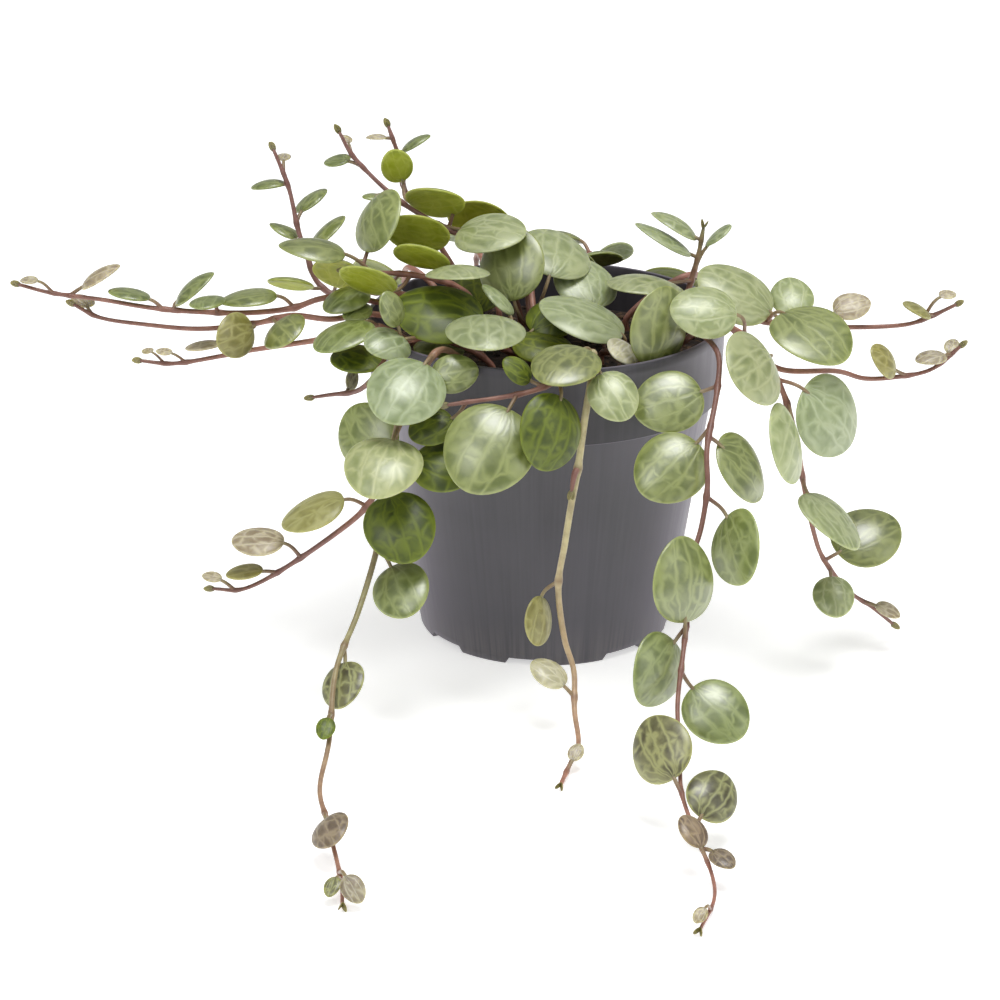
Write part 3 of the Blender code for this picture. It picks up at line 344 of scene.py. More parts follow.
# foot (x, y); stem points (x, y, z); leaves (x, y, z, azimuth and elevation faced, width, tone)
vines = {
    "vine_front_left": {
        "foot": (-12, -18),
        "stem": [(-14, -21, 54), (-17.5, -25.5, 57), (-21, -30, 53), (-24, -33, 46.5),
                 (-25.5, -34, 39.5), (-26.5, -36, 32.5), (-27.5, -39.5, 27.5), (-30, -47, 21),
                 (-33, -58, 16), (-33.5, -70, 10), (-34.5, -79, 6.5), (-33, -86, 4.5),
                 (-30.5, -98, 1.8), (-30, -104, 1)],
        "leaves": [(-15, -29.5, 54.5, 0, 35, 6.5, "mid"), (-22.5, -34, 53.5, 10, 55, 12.5, "pale"),
                   (-29, -28, 43.5, -25, 30, 10.5, "mid"), (-26, -40.5, 43.5, 0, 65, 12.5, "pale"),
                   (-23.5, -40.5, 33, 0, 45, 11.5, "dark"), (-17, -35.5, 41, 0, 50, 9, "dark"),
                   (-23.5, -42.5, 23, -30, 50, 9.5, "mid"), (-32, -58.5, 14, -45, 50, 7.5, "shell"),
                   (-34, -70, 12, 0, 60, 3, "dark"), (-32.5, -90, 5.5, -75, 55, 6.5, "plum"),
                   (-28.5, -103, 3, 0, 45, 3.5, "rust"),
                   (-31.5, -101.5, 2.5, -20, 60, 2.5, "shell")],
        "shoots": [{"stem": [(-27, -33, 36), (-31, -32.5, 31), (-41, -31.5, 23), (-49, -30.5, 18),
                             (-54.5, -29.5, 17.5)],
                    "leaves": [(-37.5, -34, 33, -60, 65, 10, "bronze"),
                               (-46.5, -32, 27, 0, 75, 7.5, "rust"),
                               (-49, -31, 21, -60, 80, 5, "bronze"),
                               (-54.5, -29.5, 19.5, 0, 70, 2.5, "rust")]}],
    },
    "vine_front_spray": {
        "foot": (0, -18),
        "stem": [(1.5, -23, 54), (3, -28, 57), (2, -32, 55), (-2, -33, 53), (-7, -33.5, 52),
                 (-11.5, -34, 51.5), (-16, -34.5, 51)],
        "leaves": [(-9.5, -40, 46, 0, 40, 14.5, "mid"), (0.5, -39.5, 48.5, 35, 20, 11.5, "dark"),
                   (-5, -32.5, 56, 40, 35, 4.5, "dark"), (-18.5, -33.5, 47, 0, 45, 6.5, "dark")],
    },
    "vine_front_middle": {
        "foot": (5.5, -16.5),
        "stem": [(6.5, -22, 54.5), (7, -28, 57), (6.5, -32.5, 54), (5.5, -35, 48.5),
                 (4.5, -36.5, 41), (3.5, -37.5, 35.5), (2.5, -38.5, 29), (1.5, -39.5, 22),
                 (2.5, -41.5, 14), (4, -44, 9.5), (4, -49, 5), (4.5, -56, 2.5), (3, -61, 1.4),
                 (1.5, -67, 1)],
        "leaves": [(10, -35.5, 53, 0, 45, 8, "pale"), (2.5, -33.5, 57.5, 0, 75, 11, "mid"),
                   (-1.5, -41, 17, 55, 15, 7, "bronze"), (0, -45, 9.5, 30, 60, 5.5, "cream"),
                   (4, -60, 3, 0, 60, 2.5, "rust")],
        "shoots": [{"stem": [(4, -37.5, 41), (3.5, -38.5, 38)],
                    "leaves": []}],
    },
    "vine_right_long": {
        "foot": (17, -12.5),
        "stem": [(21, -15, 54), (24, -18, 57.4), (27, -24, 56), (26.5, -31, 52), (24.5, -40, 46),
                 (24.5, -43, 40.5), (23.5, -46, 35), (22, -49.5, 31), (21, -56, 24.5),
                 (20, -62, 20), (19, -68, 15), (19, -76, 10.5), (19, -83, 7.5), (21, -92, 4.5),
                 (22.5, -98, 2.5), (22.5, -103, 1.2), (20, -111, 1)],
        "leaves": [(19, -31.5, 50.5, 0, 40, 10.5, "mid"), (19, -39.5, 42.5, 0, 40, 11.5, "mid"),
                   (30.5, -37, 41.5, 60, 30, 11.5, "mid"), (28.5, -49, 33, -60, 20, 11.5, "mid"),
                   (20.5, -57, 30.5, 40, 15, 12.5, "mid"), (16.5, -63, 18.5, 45, 15, 11, "mid"),
                   (25, -66, 13, 0, 45, 10, "mid"), (16, -77, 12, -40, 35, 10, "shell"),
                   (23.5, -84, 8, 30, 50, 8, "shell"), (20, -92.5, 6.5, 40, 55, 4.5, "plum"),
                   (24, -97, 4.5, 0, 75, 3.5, "plum"), (20, -110.5, 3, 0, 55, 2, "rust")],
    },
    "vine_right_fall": {
        "foot": (14, -9),
        "stem": [(19, -12, 55.5), (25.5, -14.5, 58.5), (32, -15.5, 56), (37.5, -18, 49),
                 (40.5, -20, 40), (42, -20, 32), (44, -19, 23.5), (46, -18, 18), (50.5, -16, 11.5),
                 (55, -14, 7.5), (59, -12, 3.5)],
        "leaves": [(25, -20.5, 62, 10, 50, 10, "pale"), (33, -26.5, 54.5, 60, 35, 13, "pale"),
                   (38.5, -27.5, 42, 70, 20, 13, "pale"), (46, -19, 43.5, 40, 15, 13.5, "pale"),
                   (46, -25.5, 28, 70, 55, 12, "pale"), (53.5, -14, 20.5, 0, 55, 11.5, "mid"),
                   (47.5, -22, 13, 0, 55, 7, "pale"), (57.5, -15.5, 7.5, 40, 60, 3.5, "rust")],
    },
    "vine_right_upper": {
        "foot": (17, -3),
        "stem": [(21, -4.5, 54.5), (27, -6, 57), (33, -6, 56), (41, -5, 54.5), (50.5, -3, 53.5),
                 (59, -2, 53.5), (63.5, 0, 54), (68.5, 0, 56.5)],
        "leaves": [(31.5, -4, 60, 35, 55, 13, "pale"), (41, 0, 58, 0, 60, 7.5, "pale"),
                   (43, -14, 56, 15, 65, 13.5, "mid"), (50.5, -4, 57.5, 0, 55, 5.5, "rust"),
                   (61.5, -3, 56.5, 90, 60, 5, "bronze"), (67, 0.5, 58, 30, 70, 2.5, "rust")],
    },
    "vine_right_lower": {
        "foot": (19.5, -9),
        "stem": [(24, -10, 54.5), (28.5, -10.5, 56.8), (33, -10.5, 53), (38.5, -10, 48.5),
                 (48, -8, 47.5), (53, -6, 45.5), (59, -5, 45.5), (64.5, -4, 46.5), (69, -4, 50.5)],
        "leaves": [(56, -7, 49, 60, 30, 6, "bronze"), (64, -5.5, 49, 0, 80, 4.5, "rust"),
                   (68, -1, 49.5, 0, 60, 2.5, "rust")],
    },
    "vine_right_riser": {
        "foot": (21, 6),
        "stem": [(23.5, 7, 55), (25.5, 8, 61.5), (26.5, 8, 67.5)],
        "leaves": [(16.5, -1, 60.5, 130, 80, 13, "pale"), (20, 8, 65.5, 100, 60, 10, "pale"),
                   (22, 10, 67.5, 100, 60, 8, "pale"), (29, 8, 66, -90, 50, 4.5, "pale")],
    },
    "vine_crown_right": {
        "foot": (9, -8),
        "stem": [(10.5, -10, 51.5), (12.5, -15, 52.5), (13, -20, 53)],
        "leaves": [(18, -20.5, 59, 40, 5, 12.5, "mid"), (12, -21.5, 55.5, 70, 55, 6, "cream"),
                   (6, -12.5, 58.5, 60, 70, 14, "pale"), (6.5, 1.5, 60, 25, 60, 11, "pale")],
    },
    "vine_crown_middle": {
        "foot": (-1, -2),
        "stem": [(-2, -2.5, 52.5), (-3, -1, 56), (-3.5, 2.5, 60)],
        "leaves": [(1.5, 4, 64.5, 45, 65, 13, "pale"), (-6, -3.5, 64.5, -30, 30, 12, "mid")],
    },
    "vine_crown_front": {
        "foot": (-5, -10),
        "stem": [(-6, -12, 52), (-9, -14.5, 54.5), (-12.5, -15.5, 56)],
        "leaves": [(-17.5, -15.5, 60.5, 10, 65, 14, "dark"), (-10, -25, 60.5, 15, 85, 13, "pale"),
                   (-8, -10, 60.5, 85, 50, 6, "pale"), (-1, -14, 54, 0, 75, 9, "dark"),
                   (1, -8, 57, 0, 60, 8.5, "dark")],
    },
    "vine_crown_left": {
        "foot": (-11, -4),
        "stem": [(-11.5, -4.5, 55), (-13, -5.5, 60), (-18, -7, 63), (-24, -8.5, 64.5),
                 (-29, -9.5, 65), (-33, -8.5, 65)],
        "leaves": [(-14.5, -14, 66.5, -170, 80, 10.5, "pale"),
                   (-20.5, -8.5, 67.5, 165, 50, 9, "backlit_olive"), (-29, -13, 65, 165, 45, 9, "backlit_olive"),
                   (-21.5, -3, 70, 170, 35, 10, "backlit_olive"), (-38, -10.5, 69.5, 75, 80, 10, "mid"),
                   (-27.5, 1.5, 59, 150, 60, 9, "backlit_olive"), (-12, 2, 58, 0, 65, 9, "dark")],
    },
    "vine_left_fringe": {
        "foot": (-9, -14),
        "stem": [(-13, -15.5, 54), (-20, -19, 57), (-25, -22.5, 56), (-28, -25, 52)],
        "leaves": [(-25.5, -24.5, 58, 50, 60, 7.5, "pale"), (-17.5, -14, 53.5, 0, 75, 7.5, "mid"),
                   (-25, -23, 63, 45, 15, 5, "mid")],
        "shoots": [{"stem": [(-28, -21, 51), (-31, -18, 47.5), (-35.5, -15.5, 46),
                             (-38.5, -14, 45)],
                    "leaves": [(-32, -15, 48.5, 55, 15, 3, "rust")]}],
    },
    "vine_left_low": {
        "foot": (-19, -9),
        "stem": [(-23, -11, 54), (-28, -13, 56.8), (-34, -14, 55.5), (-40, -14, 54.5),
                 (-48.5, -12, 52.5), (-53.5, -10.5, 51), (-61.5, -10, 49.5), (-67, -10, 50)],
        "leaves": [(-33, -19, 57.5, -60, 75, 10, "mid"), (-31, -11, 58.5, 0, 70, 4.5, "mid"),
                   (-31, -17.5, 53, 0, 75, 8, "dark"), (-56.5, -10, 52.5, -120, 80, 5, "rust"),
                   (-63, -10, 51.5, 0, 70, 2, "rust"), (-66, -8, 51, -60, 70, 1.8, "rust")],
    },
    "vine_left_middle": {
        "foot": (-17, -4),
        "stem": [(-22, -6, 55), (-29, -8.5, 57.6), (-35.5, -9.5, 57), (-42, -9, 57.5),
                 (-48, -8, 55.8), (-57.5, -6, 54.2), (-67, -3, 54), (-74.5, -1, 54.5),
                 (-79, 0, 56.5)],
        "leaves": [(-78, 3.5, 56, 55, 80, 4, "rust"), (-50.5, -15, 56, 50, 15, 7.5, "bronze"),
                   (-43, -15, 57, -70, 55, 8, "mid")],
    },
    "vine_left_upper": {
        "foot": (-14, 0),
        "stem": [(-20, -2, 57.5), (-28, -4, 60), (-37, -6, 59.5), (-42, -6, 57.8), (-49, -6, 57),
                 (-57, -5, 56.8), (-65.5, -4, 57.2), (-74, -2, 58), (-82.5, 0, 58.5), (-88, 0, 60)],
        "leaves": [(-33, -9, 60.5, -30, 75, 7.5, "mid"), (-74.5, 0, 61.5, -90, 60, 6.5, "rust"),
                   (-69, -4, 59.5, 100, 80, 6, "mid"), (-58.5, -5, 61, -90, 50, 7.5, "mid"),
                   (-55.5, -11.5, 60.5, -115, 85, 6, "mid"), (-49, -7, 60, -75, 85, 8.5, "mid"),
                   (-86, -1, 61, 0, 70, 2.2, "rust")],
    },
    "vine_left_riser": {
        "foot": (-19, 4),
        "stem": [(-24, 3, 54.5), (-30, 1.5, 56.8), (-35, 1, 57.5), (-38.5, 2, 60), (-40, 3, 64),
                 (-41.5, 4, 68.5), (-43, 6, 75), (-45.5, 8, 81)],
        "leaves": [(-34, -4, 63.5, 160, 45, 9.5, "backlit_olive"), (-42.5, -1, 60.5, 170, 60, 7, "backlit_olive"),
                   (-44, 10.5, 79, 0, 85, 2.5, "rust"), (-46.5, 7.5, 75, -115, 80, 5, "mid"),
                   (-39.5, 9, 72, -85, 60, 6, "mid"), (-44, 6, 67.5, 85, 70, 4.5, "mid"),
                   (-37, 7, 67, -90, 50, 7.5, "mid")],
    },
    "vine_back_riser": {
        "foot": (-4, 5),
        "stem": [(-5, 3, 56), (-7.5, 1.5, 64), (-14.5, 2, 68), (-19.5, 4, 70), (-25.5, 6, 73.5),
                 (-32, 8, 79.5), (-34.5, 8, 84)],
        "leaves": [(-11, 12.5, 68, 170, 40, 11, "backlit_olive"), (-9.5, -1.5, 69.5, -35, 70, 11.5, "pale"),
                   (-28, -4.5, 72.5, -60, 35, 11, "mid"), (-28.5, 5, 73.5, 90, 80, 3.5, "mid"),
                   (-35, 10, 78.5, -60, 70, 4, "mid"), (-33.5, 11, 82, 40, 75, 2, "rust")],
    },
    "vine_back_shoot": {
        "foot": (-12, 10),
        "stem": [(-14.5, 12, 57), (-20, 13.5, 66), (-24, 13, 73), (-24, 12, 76.5), (-25, 12, 79.5),
                 (-26.5, 12, 84)],
        "leaves": [(-18.5, 4, 73.5, 165, 45, 9.5, "backlit_olive"), (-28.5, 12, 82, 0, 85, 2.5, "rust"),
                   (-22, 12, 81, -90, 60, 4.5, "mid"), (-25, 8.5, 78, -165, 15, 5.5, "backlit_olive")],
    },
}

backVines = {
    "vine_back_left": {
        "foot": (-16, 13),
        "stem": [(-19, 16, 54.5), (-23, 19, 57), (-24.5, 25, 54), (-23.5, 31, 46), (-22, 34, 36),
                 (-21, 38, 24), (-19, 44, 12), (-16, 53, 4), (-12, 64, 1.2), (-7, 73, 1)],
        "leavesFrom": 24, "leavesTo": 92, "count": 11,
        "widths": (10.5, 4), "face": 170,
    },
    "vine_back_short": {
        "foot": (-8, 17),
        "stem": [(-10, 23, 55), (-11.5, 28.5, 57), (-12, 34, 53.5), (-11.5, 37, 46), (-11, 38, 38)],
        "leavesFrom": 17, "leavesTo": 34, "count": 4,
        "widths": (7.5, 4.5), "face": 180,
    },
    "vine_back_tuft": {
        "foot": (8, 16),
        "stem": [(9, 22, 54.5), (8, 28.5, 56.8), (8.5, 34, 53), (9.5, 37.5, 45), (10.5, 39, 36)],
        "leavesFrom": 17, "leavesTo": 37, "count": 5,
        "widths": (7.5, 4.5), "face": 180,
    },
    "vine_back_middle": {
        "foot": (-2, 15),
        "stem": [(-2.5, 22, 55), (-2.5, 29, 57), (-2, 37, 55.5), (-1.5, 43, 48), (-1, 46, 38),
                 (0, 48, 26), (1, 51, 14), (3, 57, 5), (6, 66, 1.3), (10, 75, 1)],
        "leavesFrom": 26, "leavesTo": 96, "count": 11,
        "widths": (10.5, 4), "face": 185,
    },
    "vine_back_right": {
        "foot": (14, 12),
        "stem": [(19, 13.5, 54.5), (25, 15.5, 57), (28, 21, 53.5), (26, 28, 47), (22.5, 33, 39),
                 (20, 36, 29), (18.5, 40, 18), (18, 46, 9), (20, 55, 3), (24, 64, 1)],
        "leavesFrom": 24, "leavesTo": 90, "count": 11,
        "widths": (10.5, 4), "face": 190,
    },
    "vine_back_crown": {
        "foot": (3, 11),
        "stem": [(3.5, 13, 52), (4, 16, 54), (4, 20, 55.5)],
        "leavesFrom": 6, "leavesTo": 13, "count": 3,
        "widths": (9, 7), "face": 170,
    },
}

# how a vine grows: radii at the foot and the tip, its stalks, and how finely it is laid out
vineLook = {"stem": 0.56 * mm, "tip": 0.31 * mm, "taper": 1.5, "shootShare": 0.9,
            "stalkLength": 2.2 * mm, "footDepth": 2.4 * mm, "nodeSwell": 0.5,
            "nodeSpan": 0.55 * mm, "nodeTint": 0.55, "curveStep": 0.25 * mm,
            "ringStep": 1.0 * mm, "ringGap": 0.3 * mm, "stemSides": 6, "shrink": 0.86,
            "ends": (0.6, 0.8), "leafSides": 12, "levels": 2}

# colour between the veins, colour of the veins, and gloss
leafTones = {
    "pale": (tint(132, 145, 92), tint(184, 192, 147), 0.65),
    "mid": (tint(96, 109, 36), tint(158, 167, 100), 1.0),
    # the dark tone is partly the leaf's own darker green and partly painted shade, as of leaves
    # lying in shade under others
    "dark": (tint(64, 79, 2), tint(122, 136, 26), 0.2),
    # this tone is painted light: a bright yellow-green underside colour that stands in for light
    # shining through the leaf from behind
    "backlit_olive": (tint(150, 160, 12), tint(206, 210, 96), 0.0),
    "cream": (tint(176, 172, 136), tint(216, 214, 192), 0.4),
    "rust": (tint(146, 130, 104), tint(210, 203, 176), 0.3),
    "bronze": (tint(132, 127, 62), tint(174, 170, 110), 0.5),
    "tip": (tint(104, 96, 58), tint(144, 134, 96), 0.3),
    "shell": (tint(66, 62, 28), tint(174, 179, 122), 0.6),
    "plum": (tint(94, 76, 58), tint(172, 154, 124), 0.4),
}
toneSpread = {"shade": 0.09, "warm": 0.022}
stemTones = {"pink": tint(184, 132, 114), "brown": tint(128, 90, 76), "green": tint(160, 158, 112),
             "cream": tint(206, 196, 150), "plum": tint(142, 104, 96), "node": tint(112, 72, 58)}
# each stem's tone at the foot, in the middle and at the tip
plainStem = ("pink", "pink", "brown")
shootStem = ("pink", "plum", "brown")
stemColours = {
    "vine_front_middle": ("cream", "cream", "pink"),
    "vine_front_left": ("pink", "green", "pink"),
    "vine_back_riser": ("pink", "plum", "plum"),
    "vine_back_shoot": ("pink", "pink", "plum"),
    "vine_left_riser": ("pink", "plum", "plum"),
    "vine_right_long": ("plum", "brown", "pink"),
    "vine_right_riser": ("green", "pink", "green"),
}
stoutness = {"vine_right_long": 0.85, "vine_front_middle": 1.15, "vine_right_fall": 0.95}


def place(points):
    # from the drawn pot to the real one: widths by the rim, heights by the pot's own height
    points = np.atleast_2d(np.asarray(points, float))
    scale = rimRadius / (drawn["radius"] * mm)
    placed = points * mm * scale
    share = np.clip((points[:, 2] - drawn["low"]) / (drawn["rim"] - drawn["low"]), 0, 1)
    placed[:, 2] += (potHeight - drawn["height"] * mm * scale) * share
    return placed


def facing(azimuth, elevation):
    # azimuth 0 is the front (-Y), elevation 90 is up
    a, e = math.radians(azimuth), math.radians(elevation)
    return np.array([math.sin(a) * math.cos(e), -math.cos(a) * math.cos(e), math.sin(e)])


def smoothCurve(points, step):
    # even steps along the Catmull-Rom curve through the points
    p = np.asarray(points, float)
    e = np.vstack([2 * p[0] - p[1], p, 2 * p[-1] - p[-2]])
    a, b, c, d = (e[k:k + len(p) - 1, None] for k in range(4))
    t = np.linspace(0, 1, 40, endpoint=False)[None, :, None]
    dense = 0.5 * (2 * b + (c - a) * t + (2 * a - 5 * b + 4 * c - d) * t ** 2
                   + (3 * b - a - 3 * c + d) * t ** 3)
    dense = np.vstack([dense.reshape(-1, 3), p[-1:]])
    run = np.concatenate([[0], np.cumsum(np.linalg.norm(np.diff(dense, axis=0), axis=1))])
    at = np.linspace(0, run[-1], max(8, int(run[-1] / step)))
    return at, np.stack([np.interp(at, run, dense[:, k]) for k in range(3)], axis=1)


def bezier(a, b, c, d, count):
    # the cubic curve from a to d that leaves towards b and arrives from c
    t = np.linspace(0, 1, count)[:, None]
    return (1 - t) ** 3 * a + 3 * (1 - t) ** 2 * t * b + 3 * (1 - t) * t ** 2 * c + t ** 3 * d


def leafLength(width):
    # a grown leaf is nearly round, and a young one is longer
    return width * (1.06 + 0.5 * math.exp(-width / (5 * mm)))


# what a place on the stem costs a stalk, for each metre off or for breaking a limit
stationCost = {"offPlane": 0.35, "reach": 0.1, "past": 0.15, "tooNear": 10.0, "nearest": 0.8,
               "taken": 1.0, "spacing": 1.9 * mm, "foot": 2.2, "tip": 1.8 * mm}


def leafStation(run, curve, middle, normal, wanted, taken):
    # where along the stem a stalk starts: at about the wanted distance in the leaf's own plane,
    # clear of the foot, the tip and the stalks already there
    c = stationCost
    reach = middle - curve
    offset = reach @ normal
    inPlane = np.linalg.norm(reach - offset[:, None] * normal, axis=1)
    nearest = run[int(np.argmin(np.linalg.norm(reach, axis=1)))]
    tooNear = inPlane < wanted - c["nearest"] * vineLook["stalkLength"]
    cost = np.abs(inPlane - wanted) + c["offPlane"] * np.abs(offset) + c["reach"] * inPlane
    cost += np.where(tooNear, c["tooNear"] * wanted, 0.0)
    cost += c["past"] * np.maximum(run - nearest, 0)
    for other in taken:
        cost += np.where(np.abs(run - other) < c["spacing"], c["taken"], 0.0)
    cost += np.where(run < c["foot"] * vineLook["footDepth"], c["taken"], 0.0)
    cost += np.where(run > run[-1] - c["tip"], c["taken"], 0.0)
    return run[int(np.argmin(cost))]


def soilTop(x, y):
    # crown height, less a drop that grows with the distance from the middle squared
    return soilHigh[2] - soilCrown * (np.hypot(x, y) / rimRadius) ** 2


def leafTone(tone):
    # the tone's two colours, a little lighter or darker, warmer or cooler on each leaf
    ground, pale = (np.array(c[:3]) for c in leafTones[tone][:2])
    shade = 1 + toneSpread["shade"] * draws.normal()
    warm = 1 + toneSpread["warm"] * draws.normal() * np.array([1, 0, -1.5])
    ground = np.clip(ground * shade * warm, 0.002, 0.9)
    pale = np.clip(pale * (0.5 + 0.5 * shade) * warm, 0.01, 0.95)
    return np.array([*ground, leafTones[tone][2]]), pale


# the blade in five rings: reach from the middle, side (1 above, -1 below) and height in
# thicknesses. tip and notch are (size, width as an angle), young and net are (from, over) widths
bladeLook = {"reach": (0.45, 0.82, 1.0, 1.0, 0.62), "side": (1, 1, 0.35, -0.35, -1),
             "lift": (0.60, 0.44, 0.20, -0.16, -0.36), "poles": (0.62, -0.38),
             "thick": 1.1 * mm, "thickShare": 0.22, "shrink": 0.955, "egg": 0.07, "blunt": 0.98,
             "tip": (0.05, 0.45), "youngTip": 0.8, "notch": (0.05, 0.5),
             "dome": 0.085, "domeSpread": 0.3, "domeMiddle": 0.45, "youngDome": 0.6,
             "young": (7 * mm, 4 * mm), "fold": 0.10, "wave": 0.016,
             "net": (4 * mm, 7 * mm), "netShare": (0.05, 0.95), "seeds": 120}


def leafBlade(middle, along, normal, length, width, tone):
    # rings go from the middle of the upper side over the rim to the middle of the underside:
    # x = w/2 r sin a (1 - egg r cos a), y = l/2 r cos a with a blunt tip and a notch at the stalk,
    # z = a lens of the blade's thickness, less a dome that grows with r squared
    b, sides = bladeLook, vineLook["leafSides"]
    across = np.cross(normal, along)
    thick = min(b["thick"], b["thickShare"] * width)
    r, side, lift = (np.array(b[key])[:, None] for key in ("reach", "side", "lift"))
    rings = len(r)
    a = np.arange(sides)[None, :] * math.tau / sides
    spread = 1 / b["shrink"]
    young = np.clip((b["young"][0] - width) / b["young"][1], 0, 1)
    tip = b["tip"][0] * np.exp(-(np.minimum(a, math.tau - a) / b["tip"][1]) ** 2)
    tip = tip * (1 + b["youngTip"] * young)
    notch = b["notch"][0] * np.exp(-((a - math.pi) / b["notch"][1]) ** 2) * (1 - young)
    x = 0.5 * width * spread * r * np.sin(a) * (1 - b["egg"] * r * np.cos(a))
    y = 0.5 * length * spread * r * (np.cos(a) * b["blunt"] + tip * r + notch * r)
    dome = b["dome"] * width * (1 + b["domeSpread"] * draws.normal()) * (1 - b["youngDome"] * young)
    wave = b["wave"] * width * draws.normal()
    z = lift * thick - dome * (r * r - b["domeMiddle"]) + b["fold"] * young * np.abs(x)
    z = z + wave * np.sin(2 * a + draws.uniform(0, 6)) * r * r
    grid = middle + x[..., None] * across + y[..., None] * along + z[..., None] * normal
    poles = np.array(b["poles"])[:, None] * thick + b["domeMiddle"] * dome
    points = np.vstack([grid.reshape(-1, 3), middle + poles * normal])
    fineness = np.clip((width - b["net"][0]) / b["net"][1], *b["netShare"])
    seed = math.floor(draws.uniform(0, b["seeds"])) + fineness
    flat = np.stack([r * np.sin(a), r * np.cos(a), np.full((rings, sides), seed)], axis=-1)
    flat = np.vstack([flat.reshape(-1, 3), [[0, 0, seed], [0, 0, seed]]])
    ground, pale = (np.tile(colour, (len(points), 1)) for colour in leafTone(tone))
    topSide = np.concatenate([np.repeat((side[:, 0] + 1) / 2, sides), [1, 0]])
    if tone == "backlit_olive":
        # painted light: the underside gets a bright yellow-green that stands in for light shining
        # through the leaf from behind, and the upper side is a plain leaf's
        above, abovePale = leafTone("mid")
        ground = ground + (above - ground) * topSide[:, None]
        pale = pale + (abovePale - pale) * topSide[:, None]
    return {"points": points, "quads": ringQuads(rings, sides)[:, ::-1],
            "tris": endCaps(rings, sides, False), "leafPlace": flat, "slot": 0,
            "ground": ground, "pale": pale, "upper": topSide}


def roundStem(path, radii, colours):
    # a round section carried along the path: centre + radius (side cos a + up sin a)
    sides, rows = vineLook["stemSides"], len(path)
    way = unit(np.gradient(path, axis=0))
    side = unit(np.cross(way, np.cross(np.linalg.svd(way)[2][-1], way)))
    up = np.cross(way, side)
    a = np.arange(sides) * math.tau / sides
    section = side[:, None] * np.cos(a)[:, None] + up[:, None] * np.sin(a)[:, None]
    grid = path[:, None] + (radii / vineLook["shrink"])[:, None, None] * section
    back, ahead = vineLook["ends"]
    ends = np.array([path[0] - way[0] * radii[0] * back, path[-1] + way[-1] * radii[-1] * ahead])
    points = np.vstack([grid.reshape(-1, 3), ends])
    tone = np.vstack([np.repeat(colours, sides, axis=0), colours[[0, -1]]])
    return {"points": points, "quads": ringQuads(rows, sides), "tris": endCaps(rows, sides, True),
            "slot": 1, "leafPlace": np.zeros((len(points), 3)), "pale": tone,
            "upper": np.ones(len(points)), "ground": np.hstack([tone, np.ones((len(points), 1))])}


# shares of the leaf's length, of its width or of the stalk's reach, then radii along the stalk
stalkLook = {"points": 7, "neck": 0.49, "inside": 0.36, "sink": 0.02, "leave": 0.4, "arrive": 0.3,
             "dip": 0.08, "radius": 0.35 * mm, "thinShare": 0.13, "green": 0.75,
             "along": (0, 0.2, 0.7, 1), "radii": (1.15, 0.95, 0.9, 0.8)}


def stalkAndLeaf(start, middle, azimuth, elevation, width, tone, stemColour):
    # a stalk that leaves the stem, bends under the blade and ends inside it
    s = stalkLook
    normal = facing(azimuth, elevation)
    length = leafLength(width)
    along = middle - start
    along = unit(along - normal * np.dot(along, normal))
    neck = middle - along * s["neck"] * length
    reach = np.linalg.norm(neck - start)
    inside = middle - along * s["inside"] * length - normal * s["sink"] * width
    path = bezier(start, start + s["leave"] * (neck - start),
                  neck - along * s["arrive"] * reach - normal * s["dip"] * reach,
                  inside, s["points"])
    share = np.linspace(0, 1, s["points"])
    radii = min(s["radius"], s["thinShare"] * width) * np.interp(share, s["along"], s["radii"])
    blend = np.linspace(0, s["green"], s["points"])[:, None]
    colours = stemColour * (1 - blend) + np.array(stemTones["green"][:3]) * blend
    return [roundStem(path, radii, colours), leafBlade(middle, along, normal, length, width, tone)]


budLook = {"reach": 1.5 * mm, "open": 0.45, "middle": 0.35, "length": 1.3, "width": 0.7}


def budAt(end, way):
    # two tiny leaves that still clasp the growing tip
    reach = budLook["reach"]
    side = unit(np.cross(way, (0.3, 0.2, 1.0)))
    parts = []
    for hand in (-1, 1):
        along = unit(way + hand * budLook["open"] * side)
        normal = unit(np.cross(along, np.cross(hand * side, along)))
        parts.append(leafBlade(end + along * reach * budLook["middle"], along, normal,
                               reach * budLook["length"], reach * budLook["width"], "tip"))
    return parts


